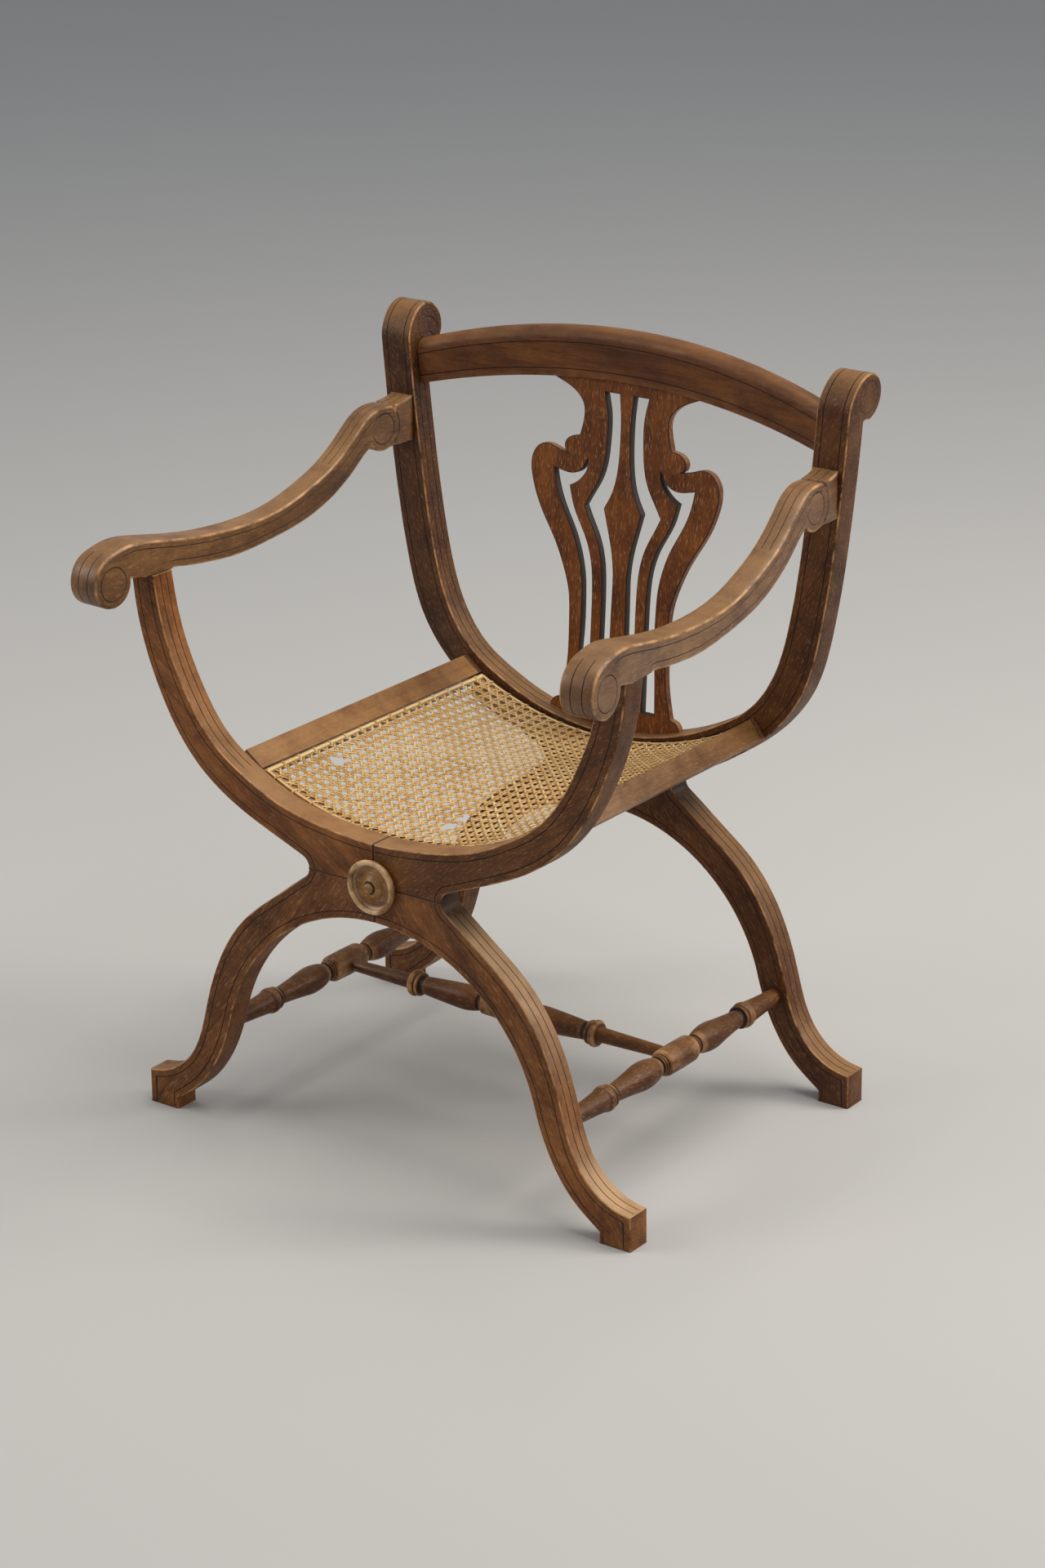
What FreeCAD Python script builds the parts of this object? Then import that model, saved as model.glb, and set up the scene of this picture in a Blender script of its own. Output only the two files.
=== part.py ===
"""Oak armchair with two crossed frames, scrolled arms, pierced splat and a caned, dished seat.

Millimetres. X runs across the chair, Y from front to back, Z up. The origin lies on the floor under
the middle of the chair's overall box. Left is the side of negative X. Each frame is four sawn
pieces: two posts that make the upper U and two legs that make the lower arch, dowelled together.
"""

import FreeCAD, Part
import math
import os

V = FreeCAD.Vector

# The two crossed frames
frame_thickness = 30.0
frame_spacing = 412.0          # from the front face of one frame to the front face of the other
joint_height = 322.0           # the glue line between posts and legs
waist_above = 45.0             # wood over the glue line, up to the dip of the U
waist_below = 41.0             # wood under the glue line, down to the crown of the arch
crook_x = 85.0                 # the waist, where post and leg part company
crook_radius = 13.0
crook_post_angle = 23.0
crook_leg_angle = 35.0

# Legs and feet
foot_reach = 315.0
foot_pad_width = 38.0
heel_height = 12.0
toe_height = 38.0
toe_rise = 3.5
toe_back = 18.0
arch_radius = 204.0
arch_sweep = 75.0
leg_width_top = 38.0
leg_width_ankle = 30.0
heel_slope = 38.0
leg_sweep_shares = [(0.24, 0.44), (0.43, 0.65), (0.64, 0.81)]
leg_outer_angle_shares = [0.44, 0.60, 0.80, 1.0]
leg_ankle_shares = [0.30, 0.58]

# Posts: the U that holds the seat
front_post_rise = 233.0        # from the dip of the U to the seat of the arm
front_post_set_in = 4.5        # how far the top of a front post stands in from the foot
front_post_width = 36.5
front_post_width_top = 30.0
front_post_shares = [
    (0.214, 0.019), (0.429, 0.073), (0.607, 0.172), (0.754, 0.300),
    (0.857, 0.474), (0.932, 0.665), (0.975, 0.837), (1.004, 1.050),
]
back_post_rise = 436.0
back_post_set_in = 12.0
back_post_width = 39.0
back_post_shares = [
    (0.227, 0.014), (0.417, 0.048), (0.568, 0.092), (0.682, 0.138),
    (0.769, 0.200), (0.830, 0.276), (0.867, 0.355), (0.905, 0.474),
    (0.939, 0.622), (0.970, 0.791), (1.004, 1.030),
]
post_outer_shares = [0.42, 0.52, 0.62, 0.72, 0.82, 0.92, 1.0]

# The rolled top of a back post
post_roll_radius = 25.0
post_roll_back = 60.0          # from the post's front face to the back of its roll
post_roll_under_angle = 80.0   # how far round its underside the roll goes
post_roll_shoulder = 38.0

# Crest rail
crest_front_inset = 10.0
crest_back_bow = 24.0          # how far the middle stands back from the ends, seen from above
crest_bow = 39.5               # how far the top edge rises from its ends to its middle
crest_low_bow = 34.0
crest_height = 54.5            # at the middle
crest_over_posts = 0.5         # how far the middle stands above the posts
crest_edge_radius = 13.0
tenon_length = 14.0
crest_tenon_height = 28.0
crest_tenon_thickness = 9.0

# Splat
splat_thickness = 9.0
splat_foot_inset = 13.0        # from the back frame's face to the splat, at its foot
splat_head_inset = 6.0         # from the crest's face to the splat, at its head
splat_tongue = 8.0
splat_groove_height = 34.0     # of the groove in the U, which climbs beside the splat's foot
splat_half_width = 122.0
splat_foot_rise = 3.5          # from the dip of the U to the zero of the splat's shares
splat_head_drop = 3.5          # from the crest's low edge to the one of the splat's shares
splat_ear_shares = [(0.594, 0.055), (0.656, 0.048), (0.700, 0.021), (0.705, -0.015)]
splat_wing_shares = [
    (0.590, 0.778), (0.680, 0.784), (0.795, 0.796), (0.881, 0.795), (0.971, 0.770),
    (1.000, 0.737), (0.975, 0.681), (0.881, 0.605), (0.717, 0.517), (0.623, 0.452),
    (0.549, 0.377), (0.529, 0.283), (0.529, 0.187), (0.549, 0.125), (0.594, 0.055),
]
splat_lobe_shares = [(0.488, 0.836), (0.561, 0.832), (0.643, 0.808), (0.631, 0.787), (0.590, 0.778)]
splat_cusp_shares = [(0.800, 1.000), (0.533, 0.960), (0.459, 0.930), (0.455, 0.878), (0.488, 0.836)]
outer_slot_hook_shares = [(0.385, 0.774), (0.451, 0.738), (0.570, 0.722), (0.746, 0.731)]
outer_slot_outside_shares = [
    (0.746, 0.731), (0.730, 0.703), (0.652, 0.629), (0.520, 0.549), (0.451, 0.491),
    (0.406, 0.425), (0.393, 0.353), (0.391, 0.291), (0.410, 0.177), (0.426, 0.057),
]
outer_slot_inside_shares = [
    (0.295, 0.057), (0.291, 0.314), (0.295, 0.403), (0.320, 0.477), (0.385, 0.540),
    (0.459, 0.584), (0.529, 0.630), (0.578, 0.686),
]
outer_slot_curl_shares = [(0.578, 0.686), (0.520, 0.696), (0.443, 0.718), (0.393, 0.747), (0.385, 0.774)]
inner_slot_high_shares = [
    (0.230, 0.974), (0.193, 0.919), (0.189, 0.834), (0.205, 0.777), (0.258, 0.717),
    (0.332, 0.674), (0.402, 0.635),
]
inner_slot_low_shares = [
    (0.402, 0.635), (0.365, 0.610), (0.270, 0.551), (0.205, 0.483), (0.184, 0.413),
    (0.180, 0.304), (0.189, 0.057),
]
middle_bar_low_shares = [
    (0.086, 0.057), (0.082, 0.314), (0.078, 0.392), (0.078, 0.447), (0.107, 0.519),
    (0.160, 0.587), (0.201, 0.636),
]
middle_bar_high_shares = [
    (0.201, 0.636), (0.139, 0.673), (0.098, 0.709), (0.066, 0.769), (0.056, 0.834),
    (0.061, 0.917), (0.078, 0.974),
]

# Seat rails
rail_inner_x = 168.0
rail_rise = 38.0               # from the dip of the U to the rail's low inner corner
rail_slope = 37.3
rail_width = 26.5
rail_depth = 25.0
rail_packing = 5.0
rail_tenon_width = 14.0
rail_tenon_height = 12.0

# Caned seat
cane_thickness = 2.4
cane_edge_drop = 4.0           # below the inside of the U at the front and back edges
cane_middle_rise = 15.0        # how much flatter the cane lies halfway back
binding_width = 5.0
binding_thickness = 1.4
bearer_width = 20.0
bearer_depth = 20.0
cane_bands = 6

# Arms
arm_front_set_out = 24.5       # from a front post's inner top corner to the middle of the scroll
arm_back_set_out = 9.0         # from a back post's inner top corner to the middle of the end block
arm_width_front = 38.0
arm_width_middle = 28.0
arm_width_back = 30.0
arm_waist_share = 0.36
arm_flank_lean = 1.0           # a little more wood halfway between scroll and waist
arm_scroll_radius = 26.0
arm_scroll_rise = 4.0          # the heights of the arm are counted from the seat on the front post
arm_overhang = 52.0            # from the front frame's face to the middle of the front scroll
arm_seat_margin = 4.0
arm_block_length = 27.0
arm_end_low = 56.0
arm_end_top = 106.0
arm_roll_radius = 25.0
arm_roll_rise = 78.0
arm_roll_back = 46.0           # from the back post's face to the middle of the rear scroll
arm_crown_shares = [(-0.69, 0.83), (0.08, 1.23)]
arm_crown_slope = 14.0
arm_end_slope = 16.0
arm_roll_start_angle = -140.0  # where the rear scroll takes over from the arm's under side
arm_roll_end_angle = -70.0
arm_top_shares = [
    (0.052, 0.377), (0.134, 0.340), (0.274, 0.236),
    (0.392, 0.198), (0.554, 0.245), (0.651, 0.368), (0.731, 0.519), (0.812, 0.774),
    (0.851, 0.900), (0.903, 0.960), (0.942, 0.955),
]
arm_low_shares = [
    (0.235, -0.028), (0.323, -0.075), (0.388, -0.090), (0.511, -0.047), (0.642, 0.057),
    (0.731, 0.208), (0.802, 0.406), (0.838, 0.528),
]

# Boss where the four front pieces meet
boss_radius = 28.0
boss_height = 13.0
boss_spigot_radius = 5.0
boss_spigot_length = 18.0
boss_start_share = (1.0, 0.19)
boss_arc_shares = [
    ((0.88, 0.38), (0.75, 0.19)), ((0.60, 0.10), (0.43, 0.38)),
    ((0.38, 0.55), (0.30, 0.62)), ((0.22, 0.92), (0.06, 1.0)),
]

# Turned stretchers: each member gives its start, its end, and the radii at start, middle and end
straight = None
stretcher_z = 109.0
stretcher_x = 220.0
barrel_radius = 15.0
stretcher_tenon_radius = 7.0
stretcher_tenon_length = 12.0
cross_barrel_radius = 13.5
cross_tenon_radius = 4.5
cross_tenon_length = 9.0
side_turning_shares = [
    (0, 0.141, 1.0, straight, 0.93), (0.141, 0.162, 0.77, straight, 0.77), (0.162, 0.382, 0.80, 0.93, 0.967),
    (0.382, 0.50, 0.967, straight, 0.84), (0.50, 0.618, 0.84, straight, 0.70),
    (0.618, 0.681, 0.75, 0.95, 0.75), (0.681, 1.0, 0.77, straight, 0.60),
]
cross_turning_shares = [
    (0, 0.137, 1.0, straight, 0.93), (0.137, 0.156, 0.78, straight, 0.78), (0.156, 0.25, 0.85, 0.98, 1.037),
    (0.25, 0.488, 1.037, straight, 0.889), (0.488, 0.535, 0.889, straight, 0.78),
    (0.535, 0.56, 0.963, straight, 0.963),
    (0.56, 0.60, 0.85, 1.11, 0.80), (0.60, 1.0, 0.59, straight, 0.48),
]

# Dowels and fits
dowel_radius = 5.0
dowel_length = 44.0
dowel_spread = 48.0            # from the middle of the chair to each upright dowel
cross_dowel_offset = 24.0      # above and below the glue line
fit = 0.1
overrun = 1.0

quarter_turn = 90.0
full_turn = 360.0

arch_top_z = joint_height - waist_below
seat_dip_z = joint_height + waist_above
arm_seat_z = seat_dip_z + front_post_rise
arm_scroll_z = arm_seat_z + arm_scroll_rise
arm_end_low_z = arm_seat_z + arm_end_low
arm_end_top_z = arm_seat_z + arm_end_top
arm_roll_z = arm_seat_z + arm_roll_rise
back_post_top_z = seat_dip_z + back_post_rise
crest_middle_top_z = back_post_top_z + crest_over_posts
crest_end_top_z = crest_middle_top_z - crest_bow
crest_middle_low_z = crest_middle_top_z - crest_height
crest_end_low_z = crest_middle_low_z - crest_low_bow
splat_low_z = seat_dip_z + splat_foot_rise
splat_high_z = crest_middle_low_z - splat_head_drop
rail_inner_z = seat_dip_z + rail_rise
front_post_inner_x = foot_reach - front_post_set_in - front_post_width_top
back_post_inner_x = foot_reach - back_post_set_in - back_post_width
arm_front_x = front_post_inner_x + arm_front_set_out
arm_back_x = back_post_inner_x + arm_back_set_out
back_y = frame_spacing
frame_back_y = frame_thickness
crest_end_y = back_y + crest_front_inset
splat_foot_y = back_y + splat_foot_inset
splat_head_y = crest_end_y + crest_back_bow + splat_head_inset
splat_lean = math.degrees(math.atan2(splat_head_y - splat_foot_y, splat_high_z - splat_low_z))
front_limit = -(arm_overhang + arm_scroll_radius)
back_limit = back_y + post_roll_back
middle_y = (front_limit + back_limit) / 2
sides = {"left": -1, "right": 1}


def at(x, z, y=0):
    """A point of a front view outline."""
    return V(x, y, z)


def heading(degrees):
    """The direction in the front view that climbs at this angle from the X axis."""
    angle = math.radians(degrees)
    return V(math.cos(angle), 0, math.sin(angle))


def side_heading(degrees):
    """The direction in the side view that climbs at this angle towards the back."""
    angle = math.radians(degrees)
    return V(0, math.cos(angle), math.sin(angle))


def smooth(points, start, end):
    """One smooth curve through the points, leaving and arriving along the two directions."""
    curve = Part.BSplineCurve()
    curve.interpolate(Points=points, InitialTangent=start, FinalTangent=end)
    return curve


def chain(*edges):
    """Edges end to end, as one wire."""
    shapes = [edge if isinstance(edge, Part.Edge) else edge.toShape() for edge in edges]
    return Part.Wire(Part.__sortEdges__(shapes))


def line(a, b):
    return Part.LineSegment(a, b)


def prism(edges, depth, axis=V(0, 1, 0)):
    """A flat outline pushed along an axis."""
    return Part.Face(chain(*edges)).extrude(axis * depth)


def mirrored(shape):
    return shape.mirror(V(0, 0, 0), V(1, 0, 0))


def both(shape):
    """The shape of the right side, and its twin."""
    return {"right": shape, "left": mirrored(shape)}


def moved(shape, x=0, y=0, z=0):
    copy = shape.copy()
    copy.translate(V(x, y, z))
    return copy


def beside(curve, parameter, distance):
    """A point at this distance to the right of the curve, as it is travelled."""
    point = curve.value(parameter)
    along = curve.tangent(parameter)[0]
    return point + V(along.z, 0, -along.x) * distance


def along(curve, share):
    return curve.FirstParameter + share * (curve.LastParameter - curve.FirstParameter)


def rod(radius, length, base, axis):
    return Part.makeCylinder(radius, length, base, axis)


def crook_point(angle):
    """A point on the rounded waist, where its tangent climbs at the angle."""
    centre = at(crook_x + crook_radius, joint_height)
    side = 1 if angle > 0 else -1
    turn = math.radians(angle)
    return centre + V(-abs(math.sin(turn)), 0, side * math.cos(turn)) * crook_radius


def crook_arc(angle):
    """The rounded waist from its innermost point to where post or leg leaves it."""
    middle = (quarter_turn + abs(angle)) / 2 * (1 if angle > 0 else -1)
    return Part.Arc(at(crook_x, joint_height), crook_point(middle), crook_point(angle))


def post_inner(shares, half_gap, top_z):
    """The inside of the U from the middle of the seat to above the post's top."""
    points = [at(0, seat_dip_z)]
    points += [at(x * half_gap, seat_dip_z + z * (top_z - seat_dip_z)) for x, z in shares]
    return smooth(points, V(1, 0, 0), points[-1] - points[-2])


def post_outer(inner, width_low, width_top):
    """The outside of a post: the inside, moved out by the width of the wood."""
    points = [crook_point(crook_post_angle)]
    for share in post_outer_shares:
        climbed = (share - post_outer_shares[0]) / (1 - post_outer_shares[0])
        width = width_low + (width_top - width_low) * climbed
        points.append(beside(inner, along(inner, share), width))
    return smooth(points, heading(crook_post_angle), inner.tangent(inner.LastParameter)[0])


def post_blank(inner, outer, depth):
    """A post of the right side as it leaves the saw, longer than its finished height."""
    waist = at(crook_x, joint_height)
    return prism([
        inner,
        line(inner.EndPoint, outer.EndPoint),
        outer,
        crook_arc(crook_post_angle),
        line(waist, at(0, joint_height)),
        line(at(0, joint_height), at(0, seat_dip_z)),
    ], depth)


def leg_inner():
    """The arch and the sweep from it to the heel, as two curves that meet smoothly."""
    centre_z = arch_top_z - arch_radius
    def on_arch(angle):
        turn = math.radians(angle)
        return at(arch_radius * math.sin(turn), centre_z + arch_radius * math.cos(turn))
    arch = Part.Arc(on_arch(0), on_arch(arch_sweep / 2), on_arch(arch_sweep))
    spring = on_arch(arch_sweep)
    heel = at(foot_reach - foot_pad_width, heel_height)
    points = [spring]
    points += [spring + V(x * (heel.x - spring.x), 0, z * (heel.z - spring.z)) for x, z in leg_sweep_shares]
    points.append(heel)
    return on_arch, arch, smooth(points, heading(-arch_sweep), heading(-heel_slope))


def leg_outer(on_arch, sweep):
    """The outside of a leg, its width falling from the waist to the ankle."""
    centre = at(0, arch_top_z - arch_radius)
    points = [crook_point(-crook_leg_angle)]
    narrowing = (leg_width_top - leg_width_ankle) / 2
    for share in leg_outer_angle_shares:
        fallen = max(0, share - leg_outer_angle_shares[1]) / (1 - leg_outer_angle_shares[1])
        width = leg_width_top - narrowing * fallen
        inner = on_arch(share * arch_sweep)
        points.append(inner + (inner - centre).normalize() * width)
    for share in leg_ankle_shares:
        width = leg_width_ankle + narrowing * (1 - share / leg_ankle_shares[-1])
        points.append(beside(sweep, along(sweep, share), -width))
    points.append(at(foot_reach - toe_back, toe_height + toe_rise))
    points.append(at(foot_reach, toe_height))
    return smooth(points, heading(-crook_leg_angle), points[-1] - points[-2])


def leg():
    """A leg of the right side: arch, ankle, heel step and square foot pad."""
    on_arch, arch, sweep = leg_inner()
    outer = leg_outer(on_arch, sweep)
    heel = sweep.EndPoint
    return prism([
        line(at(0, joint_height), at(0, arch_top_z)),
        arch,
        sweep,
        line(heel, at(heel.x, 0)),
        line(at(heel.x, 0), at(foot_reach, 0)),
        line(at(foot_reach, 0), at(foot_reach, toe_height)),
        outer,
        crook_arc(-crook_leg_angle),
        line(at(crook_x, joint_height), at(0, joint_height)),
    ], frame_thickness)


def front_post():
    inner = post_inner(front_post_shares, front_post_inner_x, arm_seat_z)
    blank = post_blank(inner, post_outer(inner, front_post_width, front_post_width_top), frame_thickness)
    reach = foot_reach + front_post_width
    above = Part.makeBox(reach, frame_thickness, arm_seat_z, V(0, 0, arm_seat_z))
    return blank.cut(above)


def post_side_profile():
    """The back post seen from the side: square below, rolled backwards at the top."""
    face = frame_thickness
    centre = V(0, post_roll_back - post_roll_radius, back_post_top_z - post_roll_radius)
    def on_roll(angle):
        return centre + V(0, math.cos(math.radians(angle)), math.sin(math.radians(angle))) * post_roll_radius
    top = on_roll(quarter_turn)
    lip = V(0, face, back_post_top_z - 2 * post_roll_radius)
    under = on_roll(-post_roll_under_angle)
    shoulder = V(0, 0, back_post_top_z - post_roll_shoulder)
    front = Part.BSplineCurve()
    front.interpolate(Points=[shoulder, top], InitialTangent=V(0, 0, 1), FinalTangent=V(0, 1, 0))
    floor = joint_height - overrun
    return [
        line(V(0, 0, floor), shoulder),
        front,
        Part.Arc(top, on_roll(0), under),
        line(under, lip),
        line(lip, V(0, face, floor)),
        line(V(0, face, floor), V(0, 0, floor)),
    ]


def back_post():
    inner = post_inner(back_post_shares, back_post_inner_x, back_post_top_z)
    outer = post_outer(inner, back_post_width, back_post_width)
    blank = post_blank(inner, outer, post_roll_back + overrun)
    reach = foot_reach + back_post_width
    side = prism(post_side_profile(), reach, V(1, 0, 0))
    return moved(blank.common(side), y=back_y)


def leaned(shape):
    """A shape turned back about the splat's foot, from upright to the splat's lean."""
    copy = shape.copy()
    copy.rotate(V(0, splat_foot_y, splat_low_z), V(1, 0, 0), -splat_lean)
    return copy


def splat_point(share):
    """A point of the splat's right half from its shares of half width and height."""
    x, z = share
    return at(x * splat_half_width, splat_low_z + z * (splat_high_z - splat_low_z))


def splat_curve(shares):
    points = [splat_point(share) for share in shares]
    return smooth(points, points[1] - points[0], points[-1] - points[-2])


def splat_outline():
    """The right half of the splat, with a tongue at each end for the grooves in U and crest."""
    tip = splat_point(splat_cusp_shares[0])
    foot = splat_point(splat_ear_shares[-1])
    top = crest_middle_low_z + splat_tongue
    bottom = seat_dip_z - splat_tongue
    return [
        line(at(0, bottom), at(0, top)),
        line(at(0, top), at(tip.x, top)),
        line(at(tip.x, top), tip),
        splat_curve(splat_cusp_shares),
        splat_curve(splat_lobe_shares),
        splat_curve(splat_wing_shares),
        splat_curve(splat_ear_shares),
        line(foot, at(foot.x, bottom)),
        line(at(foot.x, bottom), at(0, bottom)),
    ]


def outer_slot():
    return [
        splat_curve(outer_slot_hook_shares),
        splat_curve(outer_slot_outside_shares),
        line(splat_point(outer_slot_outside_shares[-1]), splat_point(outer_slot_inside_shares[0])),
        splat_curve(outer_slot_inside_shares),
        splat_curve(outer_slot_curl_shares),
    ]


def inner_slot():
    return [
        splat_curve(inner_slot_high_shares),
        splat_curve(inner_slot_low_shares),
        line(splat_point(inner_slot_low_shares[-1]), splat_point(middle_bar_low_shares[0])),
        splat_curve(middle_bar_low_shares),
        splat_curve(middle_bar_high_shares),
        line(splat_point(middle_bar_high_shares[-1]), splat_point(inner_slot_high_shares[0])),
    ]


def splat():
    """Five bars sawn from one board: two wings, two inner bars and a waisted middle bar."""
    half = prism(splat_outline(), splat_thickness)
    for slot in (outer_slot(), inner_slot()):
        half = half.cut(prism(slot, splat_thickness))
    whole = half.fuse(mirrored(half)).removeSplitter()
    return leaned(moved(whole, y=splat_foot_y))


def splat_groove(half_width, low_z, high_z):
    """The room that one end of the splat takes in the U or in the crest."""
    reach = half_width + fit
    depth = splat_thickness + 2 * fit
    room = Part.makeBox(2 * reach, depth, high_z - low_z, V(-reach, splat_foot_y - fit, low_z))
    return leaned(room)


def bow(end_x, end_z, middle_z):
    """An arc across the chair, through its two ends and its middle."""
    return Part.Arc(at(-end_x, end_z), at(0, middle_z), at(end_x, end_z))


def crest_plan(reach, thickness):
    """The crest seen from above: two arcs, set back in the middle."""
    end_y = crest_back_bow * (1 - (reach / back_post_inner_x) ** 2)
    def arc(y):
        return Part.Arc(V(-reach, end_y + y, 0), V(0, crest_back_bow + y, 0), V(reach, end_y + y, 0))
    front, back = arc(0), arc(thickness)
    return [front, line(front.EndPoint, back.EndPoint), back, line(back.StartPoint, front.StartPoint)]


def crest():
    """The top rail, bowed upwards and backwards, its upper front edge rounded, longer than its gap."""
    reach = back_post_inner_x + back_post_width / 2
    rise = (reach / back_post_inner_x) ** 2
    top_end = crest_middle_top_z - (crest_middle_top_z - crest_end_top_z) * rise
    low_end = crest_middle_low_z - (crest_middle_low_z - crest_end_low_z) * rise
    top = bow(reach, top_end, crest_middle_top_z)
    low = bow(reach, low_end, crest_middle_low_z)
    thickness = frame_thickness - crest_front_inset
    board = prism([
        top,
        line(at(reach, top_end), at(reach, low_end)),
        low,
        line(at(-reach, low_end), at(-reach, top_end)),
    ], crest_back_bow + 3 * thickness)
    plan = prism(crest_plan(reach, thickness), crest_middle_top_z + overrun, V(0, 0, 1))
    rail = moved(board, y=-thickness).common(plan)
    upper_edge = [
        edge for edge in rail.Edges
        if abs(edge.BoundBox.YMax - crest_back_bow) < overrun
        and edge.BoundBox.ZMax > crest_middle_top_z - overrun
    ]
    rail = rail.makeFillet(crest_edge_radius, upper_edge)
    return moved(rail, y=crest_end_y)


def crest_tenon(clearance=0):
    """The tongue that a post's mortise takes, at the right end of the crest."""
    middle_z = (crest_end_top_z + crest_end_low_z) / 2
    tenon_y = crest_end_y + (frame_thickness - crest_front_inset - crest_tenon_thickness) / 2 - clearance
    height = crest_tenon_height + 2 * clearance
    thickness = crest_tenon_thickness + 2 * clearance
    length = back_post_inner_x + tenon_length + clearance
    start = back_post_inner_x - 2 * tenon_length
    return Part.makeBox(length - start, thickness, height, V(start, tenon_y, middle_z - height / 2))


def rail_frame(x, z):
    """A point of the seat rail's section from its low inner corner: along its face, into its wood."""
    slope = math.radians(rail_slope)
    return at(
        rail_inner_x + x * math.cos(slope) + z * math.sin(slope),
        rail_inner_z + x * math.sin(slope) - z * math.cos(slope),
    )


def rail_bar(low, high, near, far, start, length):
    corners = [rail_frame(x, z) for x, z in ((low, near), (high, near), (high, far), (low, far))]
    outline = [line(corners[i - 1], corners[i]) for i in range(len(corners))]
    return moved(prism(outline, length), y=start)


def rail_tenon(clearance=0):
    """The stub tenons at both ends of a seat rail, as one bar through it."""
    half_width = rail_tenon_width / 2 + clearance
    half_height = rail_tenon_height / 2 + clearance
    start = frame_back_y - tenon_length - clearance
    end = back_y + tenon_length + clearance
    return rail_bar(
        rail_width / 2 - half_width, rail_width / 2 + half_width,
        rail_depth / 2 - half_height, rail_depth / 2 + half_height,
        start, end - start,
    )


def seat_rail():
    length = back_y - frame_back_y - rail_packing
    return rail_bar(0, rail_width, 0, rail_depth, frame_back_y, length).fuse(rail_tenon()).removeSplitter()


def rail_packing_slip():
    """The thin slip behind a seat rail, with the tenon passing through it."""
    slip = rail_bar(0, rail_width, 0, rail_depth, back_y - rail_packing, rail_packing)
    return slip.cut(rail_tenon(fit))


def cane_middle_z(y):
    """The height of the cane's upper face on the middle line, level near the frames, fuller between."""
    start = frame_back_y + bearer_width
    end = back_y - bearer_width
    share = min(1, max(0, (y - start) / (end - start)))
    return seat_dip_z - cane_edge_drop + cane_middle_rise * math.sin(math.pi * share) ** 2


def cane_section(y, low, high):
    """The cane's cross section at one depth, as a closed wire between two bowed lines."""
    top = bow(rail_inner_x, rail_inner_z - fit + high, cane_middle_z(y) + high)
    bottom = bow(rail_inner_x, rail_inner_z - fit + low, cane_middle_z(y) + low)
    wire = chain(
        top,
        line(top.EndPoint, bottom.EndPoint),
        bottom,
        line(bottom.StartPoint, top.StartPoint),
    )
    return moved(wire, y=y)


def cane_sheet(low, high):
    """A layer of the dished seat between two heights over the cane's upper face."""
    start = frame_back_y + bearer_width
    end = back_y - bearer_width
    stations = [frame_back_y, start]
    stations += [start + (end - start) * i / cane_bands for i in range(1, cane_bands)]
    stations += [end, back_y]
    return Part.makeLoft([cane_section(y, low, high) for y in stations], True, True)


def cane_seat():
    return cane_sheet(-cane_thickness, 0)


def cane_binding():
    """The split cane laid round the seat's four edges over the holes."""
    layer = cane_sheet(0, binding_thickness)
    half = rail_inner_x - binding_width
    length = back_y - frame_back_y - 2 * binding_width
    height = crest_middle_top_z
    opening = Part.makeBox(2 * half, length, height, V(-half, frame_back_y + binding_width, 0))
    return layer.cut(opening)


def seat_bearer(y):
    """A bowed rail under the cane's front or back edge, fitted between the seat rails."""
    under = -cane_thickness
    top = bow(rail_inner_x, rail_inner_z - fit + under, cane_middle_z(frame_back_y) + under)
    low = bow(rail_inner_x, top.EndPoint.z - bearer_depth, cane_middle_z(frame_back_y) + under - bearer_depth)
    bar = prism([
        top,
        line(top.EndPoint, low.EndPoint),
        low,
        line(low.StartPoint, top.StartPoint),
    ], bearer_width)
    rails = rail_bar(0, rail_width, 0, rail_depth, 0, bearer_width)
    return moved(bar.cut(rails).cut(mirrored(rails)), y=y)


def arm_point(share):
    """A point of the arm's side view, lengthwise from the front scroll's middle to the back post."""
    y, z = share
    run = math.hypot(back_y + arm_overhang, arm_front_x - arm_back_x)
    return V(0, y * run, arm_seat_z + z * (arm_end_top_z - arm_seat_z))


def arm_profile():
    """The arm's side view: front scroll, dipping top line, rear scroll and square end block."""
    radius = arm_scroll_radius
    front = V(0, -radius, arm_scroll_z)
    bottom = V(0, 0, arm_scroll_z - radius)
    neck = V(0, radius, arm_scroll_z)
    end = arm_point((1, 1))
    crown = [front] + [V(0, y * radius, arm_scroll_z + z * radius) for y, z in arm_crown_shares]
    over = side_heading(arm_crown_slope)
    top = [crown[-1]] + [arm_point(share) for share in arm_top_shares] + [end]
    seat_start = V(0, arm_overhang - arm_seat_margin, arm_seat_z)
    seat_end = V(0, arm_overhang + frame_thickness + arm_seat_margin, arm_seat_z)
    roll = V(0, end.y - arm_roll_back, arm_roll_z)
    def on_roll(angle):
        return roll + V(0, math.cos(math.radians(angle)), math.sin(math.radians(angle))) * arm_roll_radius
    middle_angle = (arm_roll_start_angle + arm_roll_end_angle) / 2
    under = [seat_end] + [arm_point(share) for share in arm_low_shares] + [on_roll(arm_roll_start_angle)]
    low = smooth(under, V(0, 1, 0), under[-1] - under[-2])
    block = V(0, end.y - arm_block_length, arm_end_low_z)
    past = V(0, arm_block_length, 0)
    return [
        smooth(crown, V(0, 0, 1), over),
        smooth(top, over, side_heading(arm_end_slope)),
        line(end, end + past),
        line(end + past, V(0, end.y, arm_end_low_z) + past),
        line(V(0, end.y, arm_end_low_z) + past, block),
        line(block, on_roll(arm_roll_end_angle)),
        Part.Arc(on_roll(arm_roll_end_angle), on_roll(middle_angle), on_roll(arm_roll_start_angle)),
        low,
        line(seat_end, seat_start),
        line(seat_start, neck),
        Part.Arc(neck, bottom, front),
    ]


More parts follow.
